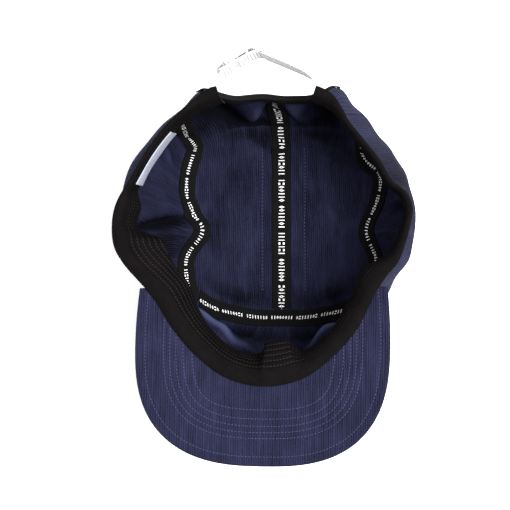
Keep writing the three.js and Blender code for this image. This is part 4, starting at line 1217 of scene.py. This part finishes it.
def stitchTree(material):
    # stitches laid end to end with a gap along each curve, as short rounded threads
    tree = bpy.data.node_groups.new("stitchesAlong", "GeometryNodeTree")
    tree.interface.new_socket("Curves", in_out="INPUT", socket_type="NodeSocketGeometry")
    for name in ("Spacing", "Stitch length", "Thread radius"):
        tree.interface.new_socket(name, in_out="INPUT", socket_type="NodeSocketFloat")
    tree.interface.new_socket("Geometry", in_out="OUTPUT", socket_type="NodeSocketGeometry")
    source = addNode(tree, "NodeGroupInput")
    points = addNode(tree, "GeometryNodeCurveToPoints", {"Curve": source.outputs["Curves"],
                                                        "Length": source.outputs["Spacing"]}, mode="LENGTH")
    ball = addNode(tree, "GeometryNodeMeshUVSphere", {"Segments": 8, "Rings": 6, "Radius": 1.0})
    thread = addNode(tree, "GeometryNodeSetShadeSmooth", {"Geometry": ball})
    half = addNode(tree, mathNode, {0: source.outputs["Stitch length"], 1: 0.5}, operation="MULTIPLY")
    size = addNode(tree, "ShaderNodeCombineXYZ", {"X": source.outputs["Thread radius"],
                                                 "Y": source.outputs["Thread radius"], "Z": half})
    placed = addNode(tree, "GeometryNodeInstanceOnPoints", {
        "Points": points, "Instance": thread, "Rotation": points.outputs["Rotation"], "Scale": size})
    real = addNode(tree, "GeometryNodeRealizeInstances", {"Geometry": placed})
    dressed = addNode(tree, "GeometryNodeSetMaterial", {"Geometry": real, "Material": material})
    target = addNode(tree, "NodeGroupOutput")
    tree.links.new(dressed.outputs[0], target.inputs[0])
    return tree


def stitches(name, lines, material, slotName, sizes):
    curve = bpy.data.curves.new(name, "CURVE")
    curve.dimensions = "3D"
    for line in lines:
        spline = curve.splines.new("POLY")
        spline.points.add(len(line) - 1)
        spline.points.foreach_set("co", np.concatenate([line * mm, np.ones((len(line), 1))], 1).ravel())
    carrier = newObject(name + "Line", curve)
    tree = stitchTree(material)
    modifier = carrier.modifiers.new("stitches", "NODES")
    modifier.node_group = tree
    sockets = {item.name: item.identifier for item in tree.interface.items_tree if item.in_out == "INPUT"}
    modifier[sockets["Spacing"]] = sizes["spacing"] * mm
    modifier[sockets["Stitch length"]] = sizes["length"] * mm
    modifier[sockets["Thread radius"]] = sizes["radius"] * mm
    evaluated = carrier.evaluated_get(bpy.context.evaluated_depsgraph_get())
    piece = newObject(name, bpy.data.meshes.new_from_object(evaluated))
    bpy.data.objects.remove(carrier)
    return dress(piece, material, slotName)


def peakStitchLine(distance):
    # a row of stitches on the peak's upper face, so many mm inside its outer edge
    count = 400
    outline = peakOutline(count)[1][:, :2]
    forward = unit(np.gradient(outline, axis=0))
    inwards = np.stack([-forward[:, 1], forward[:, 0]], -1)
    line = outline + inwards * distance * np.sign(inwards[count // 2, 1])
    radius = np.hypot(line[:, 0], line[:, 1] - crown["axisY"])
    angle = np.degrees(np.arctan2(line[:, 0], crown["axisY"] - line[:, 1]))
    keep = (radius > rimRadius(angle) + peakStitch["clear"]) & (edgeDistance(line, outline) > distance - 0.05)
    line = line[keep]
    return vec(line[:, 0], line[:, 1], peakHeight(line[:, 0], line[:, 1]) - peakStitch["sunk"])


peakLines = [peakStitchLine(row) for row in peak["rows"]]
under = [line - np.array([0, 0, peak["thickness"] - 2 * peakStitch["sunk"]]) for line in peakLines]
stitches("peakStitches", peakLines + under, navyThread, "peak_cloth", peakStitch)

rowY = np.linspace(*topStitch["y"], 120)
crownRows = [onFloor(np.full_like(rowY, x), rowY, crown["cloth"] + topStitch["above"])
             for x in topStitch["x"]]
stitches("crownTopStitches", crownRows, navyThread, "navy_cloth", topStitch)
print("stitches made")

studio = {
    "floor": "#f7f7f7", "floorGlow": 0.4, "floorHalf": 4, "world": 0.6, "aim": (0, 0, 0.05),
    "key": {"place": (0.85, 0.02, 1.5), "size": 0.9, "power": 70.0},
    "fill": {"place": (-1.2, 0.2, 1.4), "size": 1.4, "power": 12.0},
}


def placed(right, up, back, spot):
    return Matrix([[right[k], up[k], back[k], spot[k]] for k in range(3)] + [[0, 0, 0, 1]])


def areaLight(name, look):
    light = bpy.data.lights.new(name, "AREA")
    light.shape = "DISK"
    light.size = look["size"]
    light.energy = look["power"]
    back = unit(np.array(look["place"]) - np.array(studio["aim"]))
    right = unit(np.cross([0.0, 1.0, 0.01], back))
    newObject(name, light).matrix_world = placed(right, np.cross(back, right), back, look["place"])


floorMesh = bpy.data.meshes.new("studioFloor")
half = studio["floorHalf"]
corners = [(-half, -half, 0), (half, -half, 0), (half, half, 0), (-half, half, 0)]
floorMesh.from_pydata(corners, [], [(0, 1, 2, 3)])
# a matt pale floor with a faint glow, which keeps the ground even and free of a cast shadow
paleFloor = plainMaterial("paleBacklitFloor", studio["floor"], 0.9, 0.1)
floorShader = next(node for node in paleFloor.node_tree.nodes if node.type == "BSDF_PRINCIPLED")
floorShader.inputs["Emission Color"].default_value = linear(studio["floor"])
floorShader.inputs["Emission Strength"].default_value = studio["floorGlow"]
floorMesh.materials.append(paleFloor)
floor = newObject("studioFloor", floorMesh)

world = bpy.data.worlds.new("softStudio")
world.use_nodes = True
background = world.node_tree.nodes["Background"]
background.inputs[0].default_value = (1, 1, 1, 1)
background.inputs[1].default_value = studio["world"]
bpy.context.scene.world = world
bpy.context.scene.view_settings.view_transform = "Standard"
areaLight("keyLight", studio["key"])
areaLight("fillLight", studio["fill"])

camera = {"distance": 1.1, "target": (-0.0054, 0.0, 0.097), "lean": 8.0, "lens": 121.3, "sensor": 36}
cameraData = bpy.data.cameras.new("camera")
cameraData.lens = camera["lens"]
cameraData.sensor_width = camera["sensor"]
cameraData.clip_end = 20
cameraObject = newObject("camera", cameraData)
a = math.radians(camera["lean"])
back = (math.sin(a), 0.0, math.cos(a))
right = (math.cos(a), 0.0, -math.sin(a))
spot = [camera["target"][k] + camera["distance"] * back[k] for k in range(3)]
cameraObject.matrix_world = placed(right, (0, 1, 0), back, spot)
bpy.context.scene.camera = cameraObject
